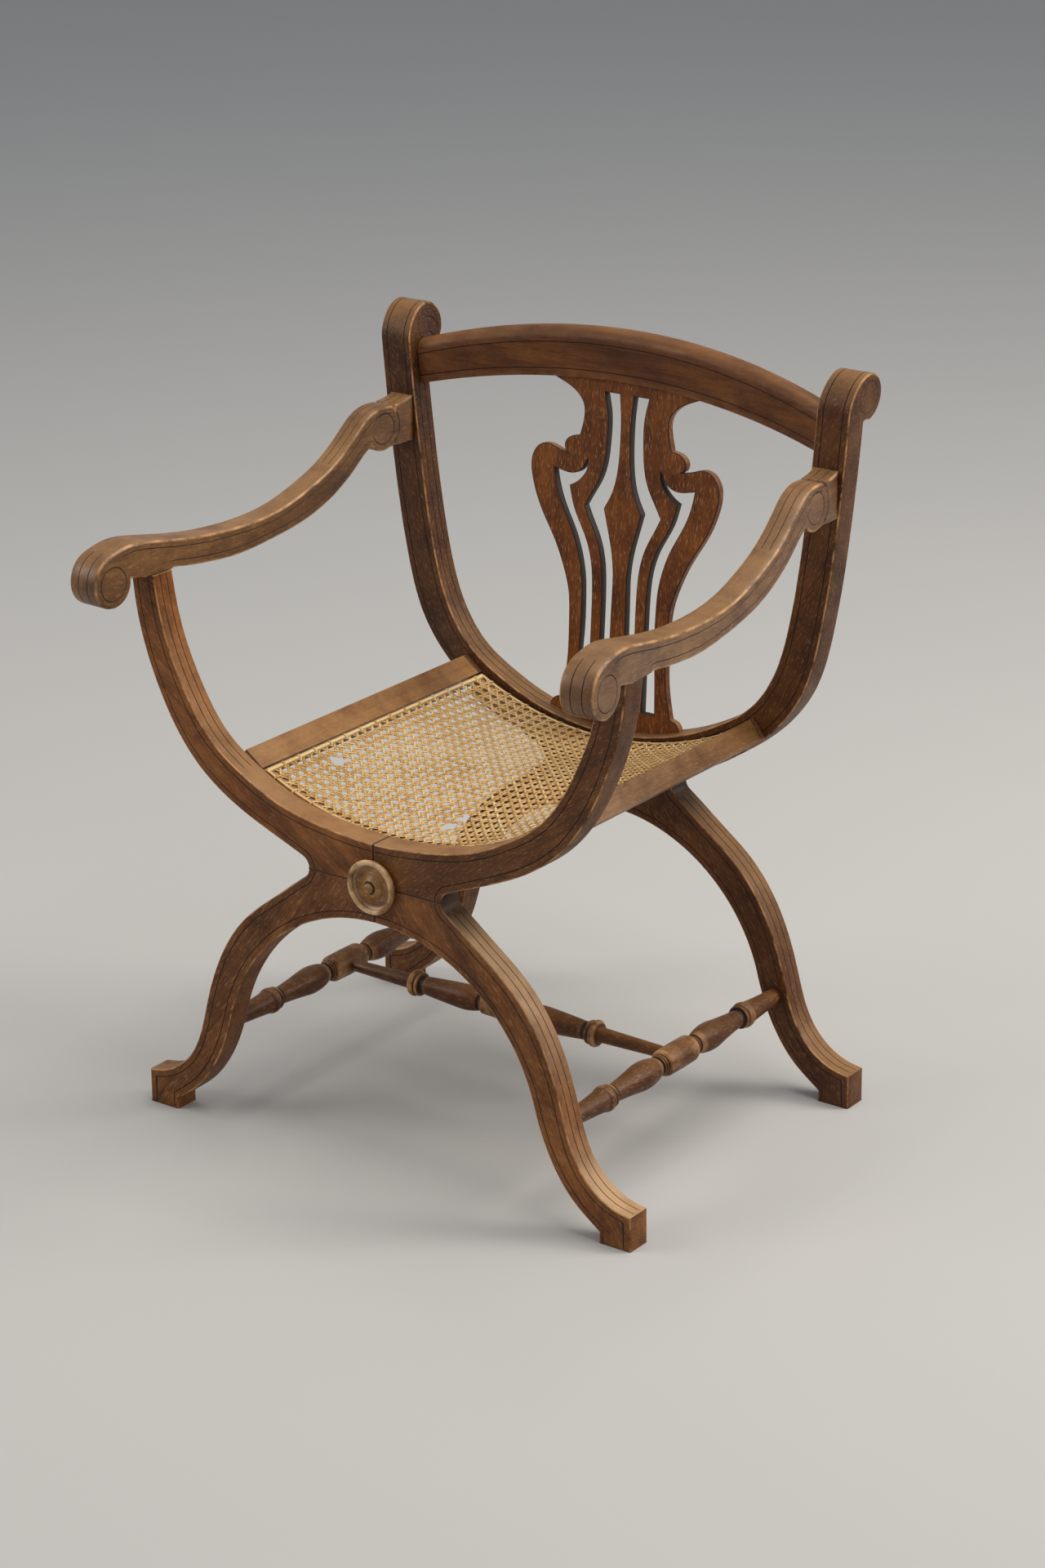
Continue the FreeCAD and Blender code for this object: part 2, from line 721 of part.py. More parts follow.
def arm_plan():
    """The arm from above: widest at the scroll, slim along its run, square at the block."""
    end = arm_point((1, 0)).y
    front = -arm_scroll_radius - overrun
    neck = arm_overhang + frame_thickness
    waist = end * arm_waist_share
    wide, slim, block = arm_width_front / 2, arm_width_middle / 2, arm_width_back / 2
    flank = Part.BSplineCurve()
    flank.interpolate(
        Points=[
            V(wide, arm_scroll_radius / 2, 0),
            V((wide + slim + arm_flank_lean) / 2, (neck + arm_scroll_radius) / 2, 0),
            V(slim, waist, 0),
        ],
        InitialTangent=V(0, 1, 0), FinalTangent=V(0, 1, 0))
    step = end - arm_block_length
    side = [
        line(V(wide, front, 0), V(wide, arm_scroll_radius / 2, 0)),
        flank,
        line(V(slim, waist, 0), V(slim, step, 0)),
        line(V(slim, step, 0), V(block, step, 0)),
        line(V(block, step, 0), V(block, end + arm_block_length, 0)),
    ]
    other = [mirrored(edge.toShape()) for edge in side]
    return side + other + [
        line(V(-wide, front, 0), V(wide, front, 0)),
        line(V(-block, end + arm_block_length, 0), V(block, end + arm_block_length, 0)),
    ]


def arm():
    """The right arm, bandsawn from two sides and set askew so that it meets the narrower back."""
    height = arm_end_top_z
    run = moved(prism(arm_profile(), arm_width_front, V(1, 0, 0)), x=-arm_width_front / 2)
    blank = run.common(prism(arm_plan(), height, V(0, 0, 1)))
    splay = math.degrees(math.atan2(arm_front_x - arm_back_x, back_y + arm_overhang))
    blank.rotate(V(0, 0, 0), V(0, 0, 1), splay)
    blank = moved(blank, x=arm_front_x, y=-arm_overhang)
    reach = foot_reach + arm_width_front
    behind = Part.makeBox(reach, back_y, height, V(0, back_y, 0))
    return blank.cut(behind)


def boss():
    """The turned boss: a ring, a hollow and a knob, with a spigot for the hole behind it."""
    def at_share(share):
        return V(share[0] * boss_radius, -share[1] * boss_height, joint_height)
    start = at_share(boss_start_share)
    edges = [
        line(at_share((0, 0)), at_share((1, 0))),
        line(at_share((1, 0)), start),
    ]
    for middle, end in boss_arc_shares:
        edges.append(Part.Arc(start, at_share(middle), at_share(end)))
        start = at_share(end)
    edges.append(line(start, at_share((0, 1))))
    edges.append(line(at_share((0, 1)), at_share((0, 0))))
    middle = V(0, 0, joint_height)
    disc = Part.Face(chain(*edges)).revolve(middle, V(0, 1, 0), full_turn)
    return disc.fuse(rod(boss_spigot_radius, boss_spigot_length, middle, V(0, 1, 0))).removeSplitter()


def turned(shares, half_length, radius, centre, direction):
    """A piece turned alike on both halves, from its members: start, end and three radii each."""
    square = V(0, 0, 1)
    half = [(a, b, near, middle, far) for a, b, near, middle, far in shares]
    members = [(-b, -a, far, middle, near) for a, b, near, middle, far in reversed(half)] + half

    def rim(station, share):
        return centre + direction * (station * half_length) + square * (share * radius)

    edges = [line(rim(-1, 0), rim(-1, members[0][2]))]
    for i, (a, b, near, middle, far) in enumerate(members):
        if middle is straight:
            edges.append(line(rim(a, near), rim(b, far)))
        else:
            edges.append(Part.Arc(rim(a, near), rim((a + b) / 2, middle), rim(b, far)))
        if i + 1 < len(members) and members[i + 1][2] != far:
            edges.append(line(rim(b, far), rim(b, members[i + 1][2])))
    edges.append(line(rim(1, members[-1][4]), rim(1, 0)))
    edges.append(line(rim(1, 0), rim(-1, 0)))
    return Part.Face(chain(*edges)).revolve(centre, direction, full_turn)


def side_stretcher():
    """A turned stretcher of the right side, between front and back leg."""
    half = (back_y - frame_back_y) / 2
    centre = V(stretcher_x, (back_y + frame_back_y) / 2, stretcher_z)
    piece = turned(side_turning_shares, half, barrel_radius, centre, V(0, 1, 0))
    return piece.fuse(side_tenon()).removeSplitter()


def side_tenon(clearance=0):
    start = frame_back_y - stretcher_tenon_length - clearance
    end = back_y + stretcher_tenon_length + clearance
    base = V(stretcher_x, start, stretcher_z)
    return rod(stretcher_tenon_radius + clearance, end - start, base, V(0, 1, 0))


def cross_stretcher():
    """The turned stretcher between the two side stretchers."""
    half = stretcher_x - barrel_radius
    centre = V(0, (back_y + frame_back_y) / 2, stretcher_z)
    piece = turned(cross_turning_shares, half, cross_barrel_radius, centre, V(1, 0, 0))
    return piece.fuse(cross_tenon()).removeSplitter()


def cross_tenon(clearance=0):
    reach = stretcher_x - barrel_radius + cross_tenon_length + clearance
    base = V(-reach, (back_y + frame_back_y) / 2, stretcher_z)
    return rod(cross_tenon_radius + clearance, 2 * reach, base, V(1, 0, 0))


def dowel(middle, axis, clearance=0):
    """A dowel centred on a joint."""
    length = dowel_length + 2 * clearance
    return rod(dowel_radius + clearance, length, middle - axis * (length / 2), axis)


def frame_dowels(y, clearance=0):
    """Upright dowels between posts and legs, level ones between left and right."""
    middle = y + frame_thickness / 2
    upright = [
        dowel(V(side * dowel_spread, middle, joint_height), V(0, 0, 1), clearance)
        for side in sides.values()
    ]
    level = [
        dowel(V(0, middle, joint_height + offset), V(1, 0, 0), clearance)
        for offset in (cross_dowel_offset, -cross_dowel_offset)
    ]
    return upright + level


def arm_dowels(clearance=0):
    """One dowel up from each front post into its arm, and one from each arm back into its post."""
    post_x = front_post_inner_x + front_post_width_top / 2
    block_z = (arm_end_low_z + arm_end_top_z) / 2
    dowels = []
    for side in sides.values():
        dowels.append(dowel(V(side * post_x, frame_thickness / 2, arm_seat_z), V(0, 0, 1), clearance))
        dowels.append(dowel(V(side * arm_back_x, back_y, block_z), V(0, 1, 0), clearance))
    return dowels


def without(shape, *cutters):
    for cutter in cutters:
        shape = shape.cut(cutter)
    return shape


def assemble():
    """Every piece by name, with the holes, mortises and grooves that its neighbours need."""
    pieces = {}
    front_holes = frame_dowels(0, fit)
    back_holes = frame_dowels(back_y, fit)
    arm_holes = arm_dowels(fit)
    spigot = rod(boss_spigot_radius + fit, boss_spigot_length + fit, V(0, 0, joint_height), V(0, 1, 0))
    foot_low_z = seat_dip_z - splat_tongue - fit
    foot_x = splat_point(splat_ear_shares[-1]).x
    foot_groove = splat_groove(foot_x, foot_low_z, foot_low_z + splat_groove_height)
    head_z = crest_middle_low_z + splat_tongue + fit
    head_groove = splat_groove(splat_point(splat_cusp_shares[0]).x, head_z - crest_height, head_z)

    seat_mortises = both(rail_tenon(fit))
    crest_mortises = both(crest_tenon(fit))
    stretcher_holes = both(side_tenon(fit))
    front_posts = both(front_post())
    back_posts = both(back_post())
    legs = both(leg())
    rail = crest()
    for side in sides:
        rail = rail.cut(back_posts[side])
    for shape in both(crest_tenon()).values():
        rail = rail.fuse(shape)
    pieces["crest_rail"] = rail.removeSplitter().cut(head_groove)
    pieces["splat"] = splat()
    arms = both(arm())
    seat_rails = both(seat_rail())
    packing_slips = both(rail_packing_slip())
    side_stretchers = both(side_stretcher())
    for side in sides:
        pieces["front_post_" + side] = without(
            front_posts[side], spigot, seat_mortises[side], *front_holes, *arm_holes)
        pieces["back_post_" + side] = without(
            back_posts[side], foot_groove, seat_mortises[side], crest_mortises[side], *back_holes, *arm_holes)
        pieces["front_leg_" + side] = without(legs[side], spigot, stretcher_holes[side], *front_holes)
        pieces["back_leg_" + side] = without(
            moved(legs[side], y=back_y), stretcher_holes[side], *back_holes)
        pieces["arm_" + side] = without(arms[side], *arm_holes)
        pieces["seat_rail_" + side] = seat_rails[side]
        pieces["rail_packing_" + side] = packing_slips[side]
        pieces["side_stretcher_" + side] = side_stretchers[side].cut(cross_tenon(fit))
    pieces["cross_stretcher"] = cross_stretcher()
    pieces["boss"] = boss()
    pieces["cane_seat"] = cane_seat()
    pieces["cane_binding"] = cane_binding()
    pieces["seat_bearer_front"] = seat_bearer(frame_back_y)
    pieces["seat_bearer_back"] = seat_bearer(back_y - bearer_width)
    pieces["front_frame_dowels"] = Part.makeCompound(frame_dowels(0))
    pieces["back_frame_dowels"] = Part.makeCompound(frame_dowels(back_y))
    pieces["arm_dowels"] = Part.makeCompound(arm_dowels())
    return pieces


os.makedirs("parts", exist_ok=True)
for name, shape in assemble().items():
    piece = moved(shape, y=-middle_y)
    print(name, piece.isValid(), len(piece.Solids), round(piece.Volume))
    piece.exportStep("parts/" + name + ".step")
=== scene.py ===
import math

import bmesh
import bpy
import numpy as np
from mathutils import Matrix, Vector
from mathutils.geometry import delaunay_2d_cdt


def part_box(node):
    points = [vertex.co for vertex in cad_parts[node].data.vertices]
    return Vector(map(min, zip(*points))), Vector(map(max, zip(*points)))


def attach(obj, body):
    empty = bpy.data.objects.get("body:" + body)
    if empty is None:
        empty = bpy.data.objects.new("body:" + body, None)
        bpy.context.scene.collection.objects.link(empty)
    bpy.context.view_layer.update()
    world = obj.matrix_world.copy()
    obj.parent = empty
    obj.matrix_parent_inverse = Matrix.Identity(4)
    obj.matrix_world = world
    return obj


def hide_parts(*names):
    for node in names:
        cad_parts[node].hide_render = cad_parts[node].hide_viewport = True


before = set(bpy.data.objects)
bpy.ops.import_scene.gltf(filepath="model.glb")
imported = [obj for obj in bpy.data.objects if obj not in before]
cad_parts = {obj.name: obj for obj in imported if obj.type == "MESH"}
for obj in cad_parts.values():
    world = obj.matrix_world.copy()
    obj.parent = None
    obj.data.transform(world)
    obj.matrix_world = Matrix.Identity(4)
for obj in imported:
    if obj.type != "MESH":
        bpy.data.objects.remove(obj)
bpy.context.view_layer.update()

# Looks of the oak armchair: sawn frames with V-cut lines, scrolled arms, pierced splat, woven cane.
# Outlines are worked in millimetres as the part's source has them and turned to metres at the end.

mm = 0.001
quarter = math.pi / 2
front_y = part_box("front_leg_right")[0].y / mm      # the front frame's face, the zero of the outlines

# The two crossed frames
frame_thickness = 30.0
frame_spacing = 412.0
joint_height = 322.0
seat_dip_z = joint_height + 45.0
arch_top_z = joint_height - 41.0
crook_x = 85.0
crook_radius = 13.0
crook_post_angle = 23.0
crook_leg_angle = 35.0

# Legs
foot_reach = 315.0
foot_pad_width = 38.0
heel_height = 12.0
toe_height = 38.0
toe_rise = 3.5
toe_back = 18.0
arch_radius = 204.0
arch_sweep = 75.0
leg_width_top = 38.0
leg_width_ankle = 30.0
heel_slope = 38.0
leg_sweep_shares = [(0.24, 0.44), (0.43, 0.65), (0.64, 0.81)]
leg_outer_angle_shares = [0.44, 0.60, 0.80, 1.0]
leg_ankle_shares = [0.30, 0.58]

# Posts
front_post_top_z = seat_dip_z + 233.0
front_post_inner_x = 280.5
front_post_width = 36.5
front_post_width_top = 30.0
front_post_shares = [
    (0.214, 0.019), (0.429, 0.073), (0.607, 0.172), (0.754, 0.300),
    (0.857, 0.474), (0.932, 0.665), (0.975, 0.837), (1.004, 1.050),
]
back_post_top_z = seat_dip_z + 436.0
back_post_inner_x = 264.0
back_post_width = 39.0
back_post_shares = [
    (0.227, 0.014), (0.417, 0.048), (0.568, 0.092), (0.682, 0.138),
    (0.769, 0.200), (0.830, 0.276), (0.867, 0.355), (0.905, 0.474),
    (0.939, 0.622), (0.970, 0.791), (1.004, 1.030),
]
post_outer_shares = [0.42, 0.52, 0.62, 0.72, 0.82, 0.92, 1.0]
roll_radius = 25.0
roll_back = 60.0
roll_shoulder = 38.0
roll_under_angle = -80.0

# Crest rail
crest_inset = 10.0
crest_back_bow = 24.0
crest_top_z = back_post_top_z + 0.5
crest_bow = 39.5
crest_low_z = crest_top_z - 54.5
crest_low_bow = 34.0
crest_rounding = 13.0

# Splat
splat_thickness = 9.0
splat_foot_y = frame_spacing + 13.0
splat_head_y = frame_spacing + crest_inset + crest_back_bow + 6.0
splat_half_width = 122.0
splat_tongue_low = 2.0                 # how far its ends run on into the frame and the crest rail
splat_tongue_high = 6.0
splat_low_z = seat_dip_z + 3.5
splat_high_z = crest_low_z - 3.5
splat_ear_shares = [(0.594, 0.055), (0.656, 0.048), (0.700, 0.021), (0.705, -0.015)]
splat_wing_shares = [
    (0.590, 0.778), (0.680, 0.784), (0.795, 0.796), (0.881, 0.795), (0.971, 0.770),
    (1.000, 0.737), (0.975, 0.681), (0.881, 0.605), (0.717, 0.517), (0.623, 0.452),
    (0.549, 0.377), (0.529, 0.283), (0.529, 0.187), (0.549, 0.125), (0.594, 0.055),
]
splat_lobe_shares = [(0.488, 0.836), (0.561, 0.832), (0.643, 0.808), (0.631, 0.787), (0.590, 0.778)]
splat_cusp_shares = [(0.800, 1.000), (0.533, 0.960), (0.459, 0.930), (0.455, 0.878), (0.488, 0.836)]
outer_slot_shares = [
    [(0.385, 0.774), (0.451, 0.738), (0.570, 0.722), (0.746, 0.731)],
    [(0.746, 0.731), (0.730, 0.703), (0.652, 0.629), (0.520, 0.549), (0.451, 0.491),
     (0.406, 0.425), (0.393, 0.353), (0.391, 0.291), (0.410, 0.177), (0.426, 0.057)],
    [(0.295, 0.057), (0.291, 0.314), (0.295, 0.403), (0.320, 0.477), (0.385, 0.540),
     (0.459, 0.584), (0.529, 0.630), (0.578, 0.686)],
    [(0.578, 0.686), (0.520, 0.696), (0.443, 0.718), (0.393, 0.747), (0.385, 0.774)],
]
inner_slot_shares = [
    [(0.230, 0.974), (0.193, 0.919), (0.189, 0.834), (0.205, 0.777), (0.258, 0.717),
     (0.332, 0.674), (0.402, 0.635)],
    [(0.402, 0.635), (0.365, 0.610), (0.270, 0.551), (0.205, 0.483), (0.184, 0.413),
     (0.180, 0.304), (0.189, 0.057)],
    [(0.086, 0.057), (0.082, 0.314), (0.078, 0.392), (0.078, 0.447), (0.107, 0.519),
     (0.160, 0.587), (0.201, 0.636)],
    [(0.201, 0.636), (0.139, 0.673), (0.098, 0.709), (0.066, 0.769), (0.056, 0.834),
     (0.061, 0.917), (0.078, 0.974)],
]

# Seat
rail_inner_x = 168.0
rail_inner_z = seat_dip_z + 38.0
rail_slope = 37.3
rail_width = 26.5
rail_depth = 25.0
rail_packing = 5.0
cane_edge_drop = 4.0
cane_middle_rise = 15.0
bearer_width = 20.0
binding_width = 5.0
cane_cells = (28, 29)                  # cells between the rows of holes, across and front to back
cane_half_width = 163.5                # from the middle to the row of holes beside each rail
cane_front_y = 34.5                    # from the front frame's face to the front row of holes
cane_pitch = (
    2 * cane_half_width / cane_cells[0],
    (frame_spacing + frame_thickness - 2 * cane_front_y) / cane_cells[1])
cane_pair_gap = 1.6                    # from a row's line to each strand of its pair
cane_width = 2.7                       # a medium cane
cane_crown = 0.40
cane_belly = 0.12
cane_pair_lift = 0.28
cane_diagonal_lift = 0.52
cane_turn = 0.17                       # cells from a crossing to where a diagonal turns over or under
cane_under_end = 0.15                  # cells by which a strand runs on under the binder
cane_sink = 0.9                        # the weave's middle lies under the seat's upper face
binder_lift = 0.7
tie_shape = [(-3.6, -0.8), (-2.9, 0.9), (-1.3, 1.6), (1.3, 1.6), (2.9, 0.9), (3.6, -0.8)]
cane_breaks = [(-139, 120, 6.5), (34, 111, 5.0), (30, 88, 7.0)]

# Arms
arm_front_x = 305.0
arm_back_x = 273.0
arm_widths = (38.0, 28.0, 30.0)        # at the scroll, along the run, at the end block
arm_waist_share = 0.36
arm_scroll_radius = 26.0
arm_overhang = 52.0
arm_seat_margin = 4.0
arm_block_length = 27.0
arm_end_low = 56.0
arm_end_top = 106.0
arm_roll_radius = 25.0
arm_roll_rise = 78.0
arm_roll_back = 46.0
arm_scroll_rise = 4.0
arm_crown_shares = [(-0.69, 0.83), (0.08, 1.23)]
arm_crown_slope = 14.0
arm_rear_share = 0.72                  # from here back the top is lined again
arm_crease_shape = [(-5, 0.3), (-3, 1.1), (-1.4, 2.3), (-0.5, 3.4), (0.3, 0.6), (0.9, 0)]    # place, drop
arm_end_slope = 16.0
arm_top_shares = [
    (0.052, 0.377), (0.134, 0.340), (0.274, 0.236), (0.392, 0.198), (0.554, 0.245),
    (0.651, 0.368), (0.731, 0.519), (0.812, 0.774), (0.851, 0.900), (0.903, 0.960), (0.942, 0.955),
]
arm_low_shares = [
    (0.235, -0.028), (0.323, -0.075), (0.388, -0.090), (0.511, -0.047), (0.642, 0.057),
    (0.731, 0.208), (0.802, 0.406), (0.838, 0.528),
]

# Boss and stretchers
bead_reach = 4.0                       # a bead stands proud of its neighbours this far to each side,
bead_proud = 1.5                       # and is rubbed bare where it stands this proud
boss_radius = 28.0
boss_height = 13.0
boss_start_share = (0.24, 1.0)         # of its height and its radius
boss_arc_shares = [
    ((0.64, 0.945), (0.26, 0.88)), ((0.06, 0.68), (0.15, 0.50)), ((0.42, 0.38), (0.60, 0.26)),
    ((0.55, 0.22), (0.63, 0.20)), ((0.92, 0.16), (1.0, 0.04)),
]
# Dark bands on the boss: painted shade at its foot where it meets the frame, and old wax in the groove round
# its button.
boss_wax_and_shade = [(0, 1.0, boss_radius - 1.5, boss_radius), (7.0, 8.6, 5.2, 6.9)]
straight = None                        # in place of the radius halfway along a stretch
stretcher_z = 109.0
stretcher_x = 220.0
barrel_radius = 15.0
cross_barrel_radius = 13.5
side_turning_shares = [
    (0, 0.118, 1.0, straight, 0.98), (0.118, 0.142, 0.98, 0.92, 0.76), (0.142, 0.158, 0.68, 0.76, 0.68),
    (0.158, 0.174, 0.64, 0.72, 0.64), (0.174, 0.19, 0.60, straight, 0.62), (0.19, 0.38, 0.70, 0.985, 0.94),
    (0.38, 0.60, 0.94, 0.765, 0.64), (0.60, 0.622, 0.62, straight, 0.62), (0.622, 0.642, 0.78, 0.86, 0.78),
    (0.642, 0.70, 0.78, 0.95, 0.86), (0.70, 1.0, 0.84, 0.68, 0.58),
]
# Wax fills the hollows from and to these distances from the middle, between a least and a largest radius
side_wax = [(26, 36, 0, 10.4), (114, 120, 0, 10.5), (122, 124, 0, 12.2)]
cross_turning_shares = [
    (0, 0.125, 1.0, straight, 0.96), (0.125, 0.14, 0.94, 0.86, 0.76), (0.14, 0.156, 0.70, straight, 0.70),
    (0.156, 0.27, 0.80, 1.0, 1.03), (0.27, 0.51, 1.03, 0.90, 0.74), (0.51, 0.535, 0.70, straight, 0.70),
    (0.535, 0.557, 0.90, 0.99, 0.90), (0.557, 0.60, 0.88, 1.10, 0.86), (0.60, 1.0, 0.62, straight, 0.48),
]
cross_wax = [(28, 34, 0, 10.0), (104, 112, 0, 10.0)]

# How the bench work shows
curve_step = 3.0               # length of a facet along a sawn curve
arris = 1.8                    # rounding of a worn arris
joint_arris = 0.5              # rounding left at a glued joint, which draws its dark line
crook_joint = 0.75             # the joint between a post and its leg
open_joint = 1.1               # the joint between left and right halves, which has opened with age
arris_facets = 3
line_inset = 8.0               # from an arris to the V-cut line beside it
line_half_width = 0.5
line_depth = 0.7
line_end_z = 2.0               # a leg's lines run down to this height
front_line_rise = 40.0         # above the seat's dip, where the lines on a post's inside begin
back_line_rise = 0.5
crisp_arris = 1.0              # where an edge was hardly touched
crest_arris = 2.0
arm_arris = 3.0                # worn by hands
sharp_corner = 34.0            # degrees, past which an edge is shaded as a corner
grid_step = 7.0                # spacing of the points that let a curved board bend
grid_clear_share = 0.4
flat_corner = 0.3              # the sine of a turn in a profile that needs no scraping
scrape_share = 0.4             # of a stretch, the most that the scraper takes from each end
least_gap = 0.05               # points nearer than this are one point
least_span = 0.02
sharpest_mitre = 0.4

mirrored = {"left": True, "right": False}      # a left piece is the right one, mirrored


# Curves of the outlines

def reach_along(line):
    """The length of a line up to each of its points."""
    return np.concatenate([[0], np.cumsum(np.linalg.norm(np.diff(line, axis=0), axis=1))])


class Curve:
    """A smooth curve through points, leaving and arriving along two directions."""

    def __init__(self, points, start, end):
        self.points = np.array(points, float)
        self.knots = reach_along(self.points)
        self.gaps = np.diff(self.knots)
        rises = np.diff(self.points, axis=0) / self.gaps[:, None]
        weights = np.eye(len(points))
        sums = np.zeros((len(points), 2))
        sums[0] = np.array(start) / np.linalg.norm(start)
        sums[-1] = np.array(end) / np.linalg.norm(end)
        for i in range(1, len(points) - 1):
            before, after = self.gaps[i - 1], self.gaps[i]
            weights[i, i - 1:i + 2] = after, 2 * (before + after), before
            sums[i] = 3 * (after * rises[i - 1] + before * rises[i])
        self.slopes = np.linalg.solve(weights, sums)

    def at(self, share):
        """The point and the unit direction at a share of the curve."""
        length = share * self.knots[-1]
        i = int(np.clip(np.searchsorted(self.knots, length, side="right") - 1, 0, len(self.gaps) - 1))
        t = (length - self.knots[i]) / self.gaps[i]
        a, b = self.points[i:i + 2]
        m, n = self.slopes[i:i + 2] * self.gaps[i]
        point = (a * (2*t**3 - 3*t**2 + 1) + m * (t**3 - 2*t**2 + t)
                 + b * (3*t**2 - 2*t**3) + n * (t**3 - t**2))
        slope = a * (6*t**2 - 6*t) + m * (3*t**2 - 4*t + 1) + b * (6*t - 6*t**2) + n * (3*t**2 - 2*t)
        return point, slope / np.linalg.norm(slope)

    def beside(self, share, distance):
        """A point at this distance to the right of the curve, as it is travelled."""
        point, along = self.at(share)
        return point + np.array([along[1], -along[0]]) * distance

    def run(self, step=curve_step):
        count = max(3, math.ceil(self.knots[-1] / step))
        return np.array([self.at(i / count)[0] for i in range(count + 1)])


def heading(degrees):
    """The direction at an angle, counted from the first axis to the second."""
    return np.array([math.cos(math.radians(degrees)), math.sin(math.radians(degrees))])


def arc(centre, radius, start, end, step=curve_step):
    """Points on an arc between two angles in degrees."""
    count = max(3, math.ceil(abs(math.radians(end - start)) * radius / step))
    return np.array([np.array(centre) + heading(a) * radius for a in np.linspace(start, end, count + 1)])


def arc_through(a, b, c, count=8):
    """Points on the arc from a through b to c, which may not lie in one line."""
    normal = 2 * np.array([b - a, c - a])
    centre = np.linalg.solve(normal, [b @ b - a @ a, c @ c - a @ a])
    angles = [math.atan2(*(p - centre)[::-1]) for p in (a, b, c)]
    turn = (angles[2] - angles[0]) % (2 * math.pi)
    if (angles[1] - angles[0]) % (2 * math.pi) > turn:
        turn -= 2 * math.pi
    turns = angles[0] + turn * np.linspace(0, 1, count + 1)
    return centre + np.linalg.norm(a - centre) * np.stack([np.cos(turns), np.sin(turns)], 1)


def straight_run(a, b, step=curve_step):
    return np.linspace(a, b, max(1, int(round(np.linalg.norm(np.subtract(b, a)) / step))) + 1)


def offset(line, distance):
    """The line moved to the left of its travel."""
    along = np.gradient(line, axis=0)
    along /= np.linalg.norm(along, axis=1)[:, None]
    return line + np.stack([-along[:, 1], along[:, 0]], 1) * distance


def joined(*lines):
    """Lines end to end, without doubled points."""
    points = [np.array(lines[0][0], float)]
    for point in (point for line in lines for point in line):
        if np.linalg.norm(point - points[-1]) > least_gap:
            points.append(np.array(point, float))
    return np.array(points)


def below(line, limit, axis=1):
    """The first part of a line, as far as it stays under a limit on one axis."""
    kept = [line[0]]
    for a, b in zip(line[:-1], line[1:]):
        if b[axis] > limit:
            return np.array(kept + [a + (b - a) * (limit - a[axis]) / (b[axis] - a[axis])])
        kept.append(b)
    return np.array(kept)


def x_at(line, z):
    """Where a rising line stands at a height."""
    return float(np.interp(z, line[:, 1], line[:, 0]))


# Making meshes

def inside(points, loops):
    """Which points lie in the wood: inside the outline and outside its openings."""
    result = np.zeros(len(points), bool)
    for loop in loops:
        for (x0, z0), (x1, z1) in zip(loop, np.roll(loop, -1, axis=0)):
            if z0 != z1:
                level = (points[:, 1] >= min(z0, z1)) & (points[:, 1] < max(z0, z1))
                result ^= level & (points[:, 0] < x0 + (points[:, 1] - z0) * (x1 - x0) / (z1 - z0))
    return result


def distance_to(points, lines):
    """Distance from each point to the nearest of the lines."""
    nearest = np.full(len(points), 1e9)
    for a, b in ((a, b) for line in lines for a, b in zip(line[:-1], line[1:])):
        span = b - a
        share = np.clip(((points - a) @ span) / max(span @ span, 1e-9), 0, 1)
        nearest = np.minimum(nearest, np.linalg.norm(points - a - share[:, None] * span, axis=1))
    return nearest


def run_of(line, soft=arris, lined=False):
    """A stretch of an outline: how far its arrises are rounded, and whether its edge has V-cut lines."""
    return line, soft, lined


class Loop:
    """A closed outline of runs. Halved ones meet their mirror image; stained ones get walls of painted shade.
    """

    def __init__(self, *runs, halved=False, stained=False):
        self.halved, self.stained = halved, stained
        points, soft, lined = zip(*[
            (a, soft, lined) for line, soft, lined in runs for a, b in zip(line[:-1], line[1:])
            if np.linalg.norm(np.subtract(b, a)) >= least_span])
        before = lambda values: np.roll(values, 1, axis=0)
        self.points = np.array(points, float)
        self.soft = np.minimum(soft, before(soft))
        self.lined = np.array(lined) & before(lined)
        spans = np.roll(self.points, -1, axis=0) - self.points
        spans /= np.linalg.norm(spans, axis=1)[:, None]
        left = np.stack([-spans[:, 1], spans[:, 0]], 1)
        square = np.maximum(1 + np.sum(left * before(left), axis=1), sharpest_mitre)
        self.mitre = (left + before(left)) / square[:, None]

    def ring(self, inset):
        return self.points + self.mitre * inset[:, None]


def blank_mesh():
    """An empty bmesh with layers for dark faces, flat faces and rubbed arrises."""
    mesh = bmesh.new()
    faces = mesh.faces.layers.int
    return mesh, faces.new("dark"), faces.new("cap"), mesh.verts.layers.float.new("arris")


def bridged(mesh, dark, rings, is_dark):
    """Fills the space between rings of vertices; is_dark tells which faces between them are dark."""
    for k, (a, b) in enumerate(zip(rings, rings[1:])):
        for i in range(len(a)):
            j = (i + 1) % len(a)
            mesh.faces.new((a[i], a[j], b[j], b[i]))[dark] = int(is_dark(k, i, j))


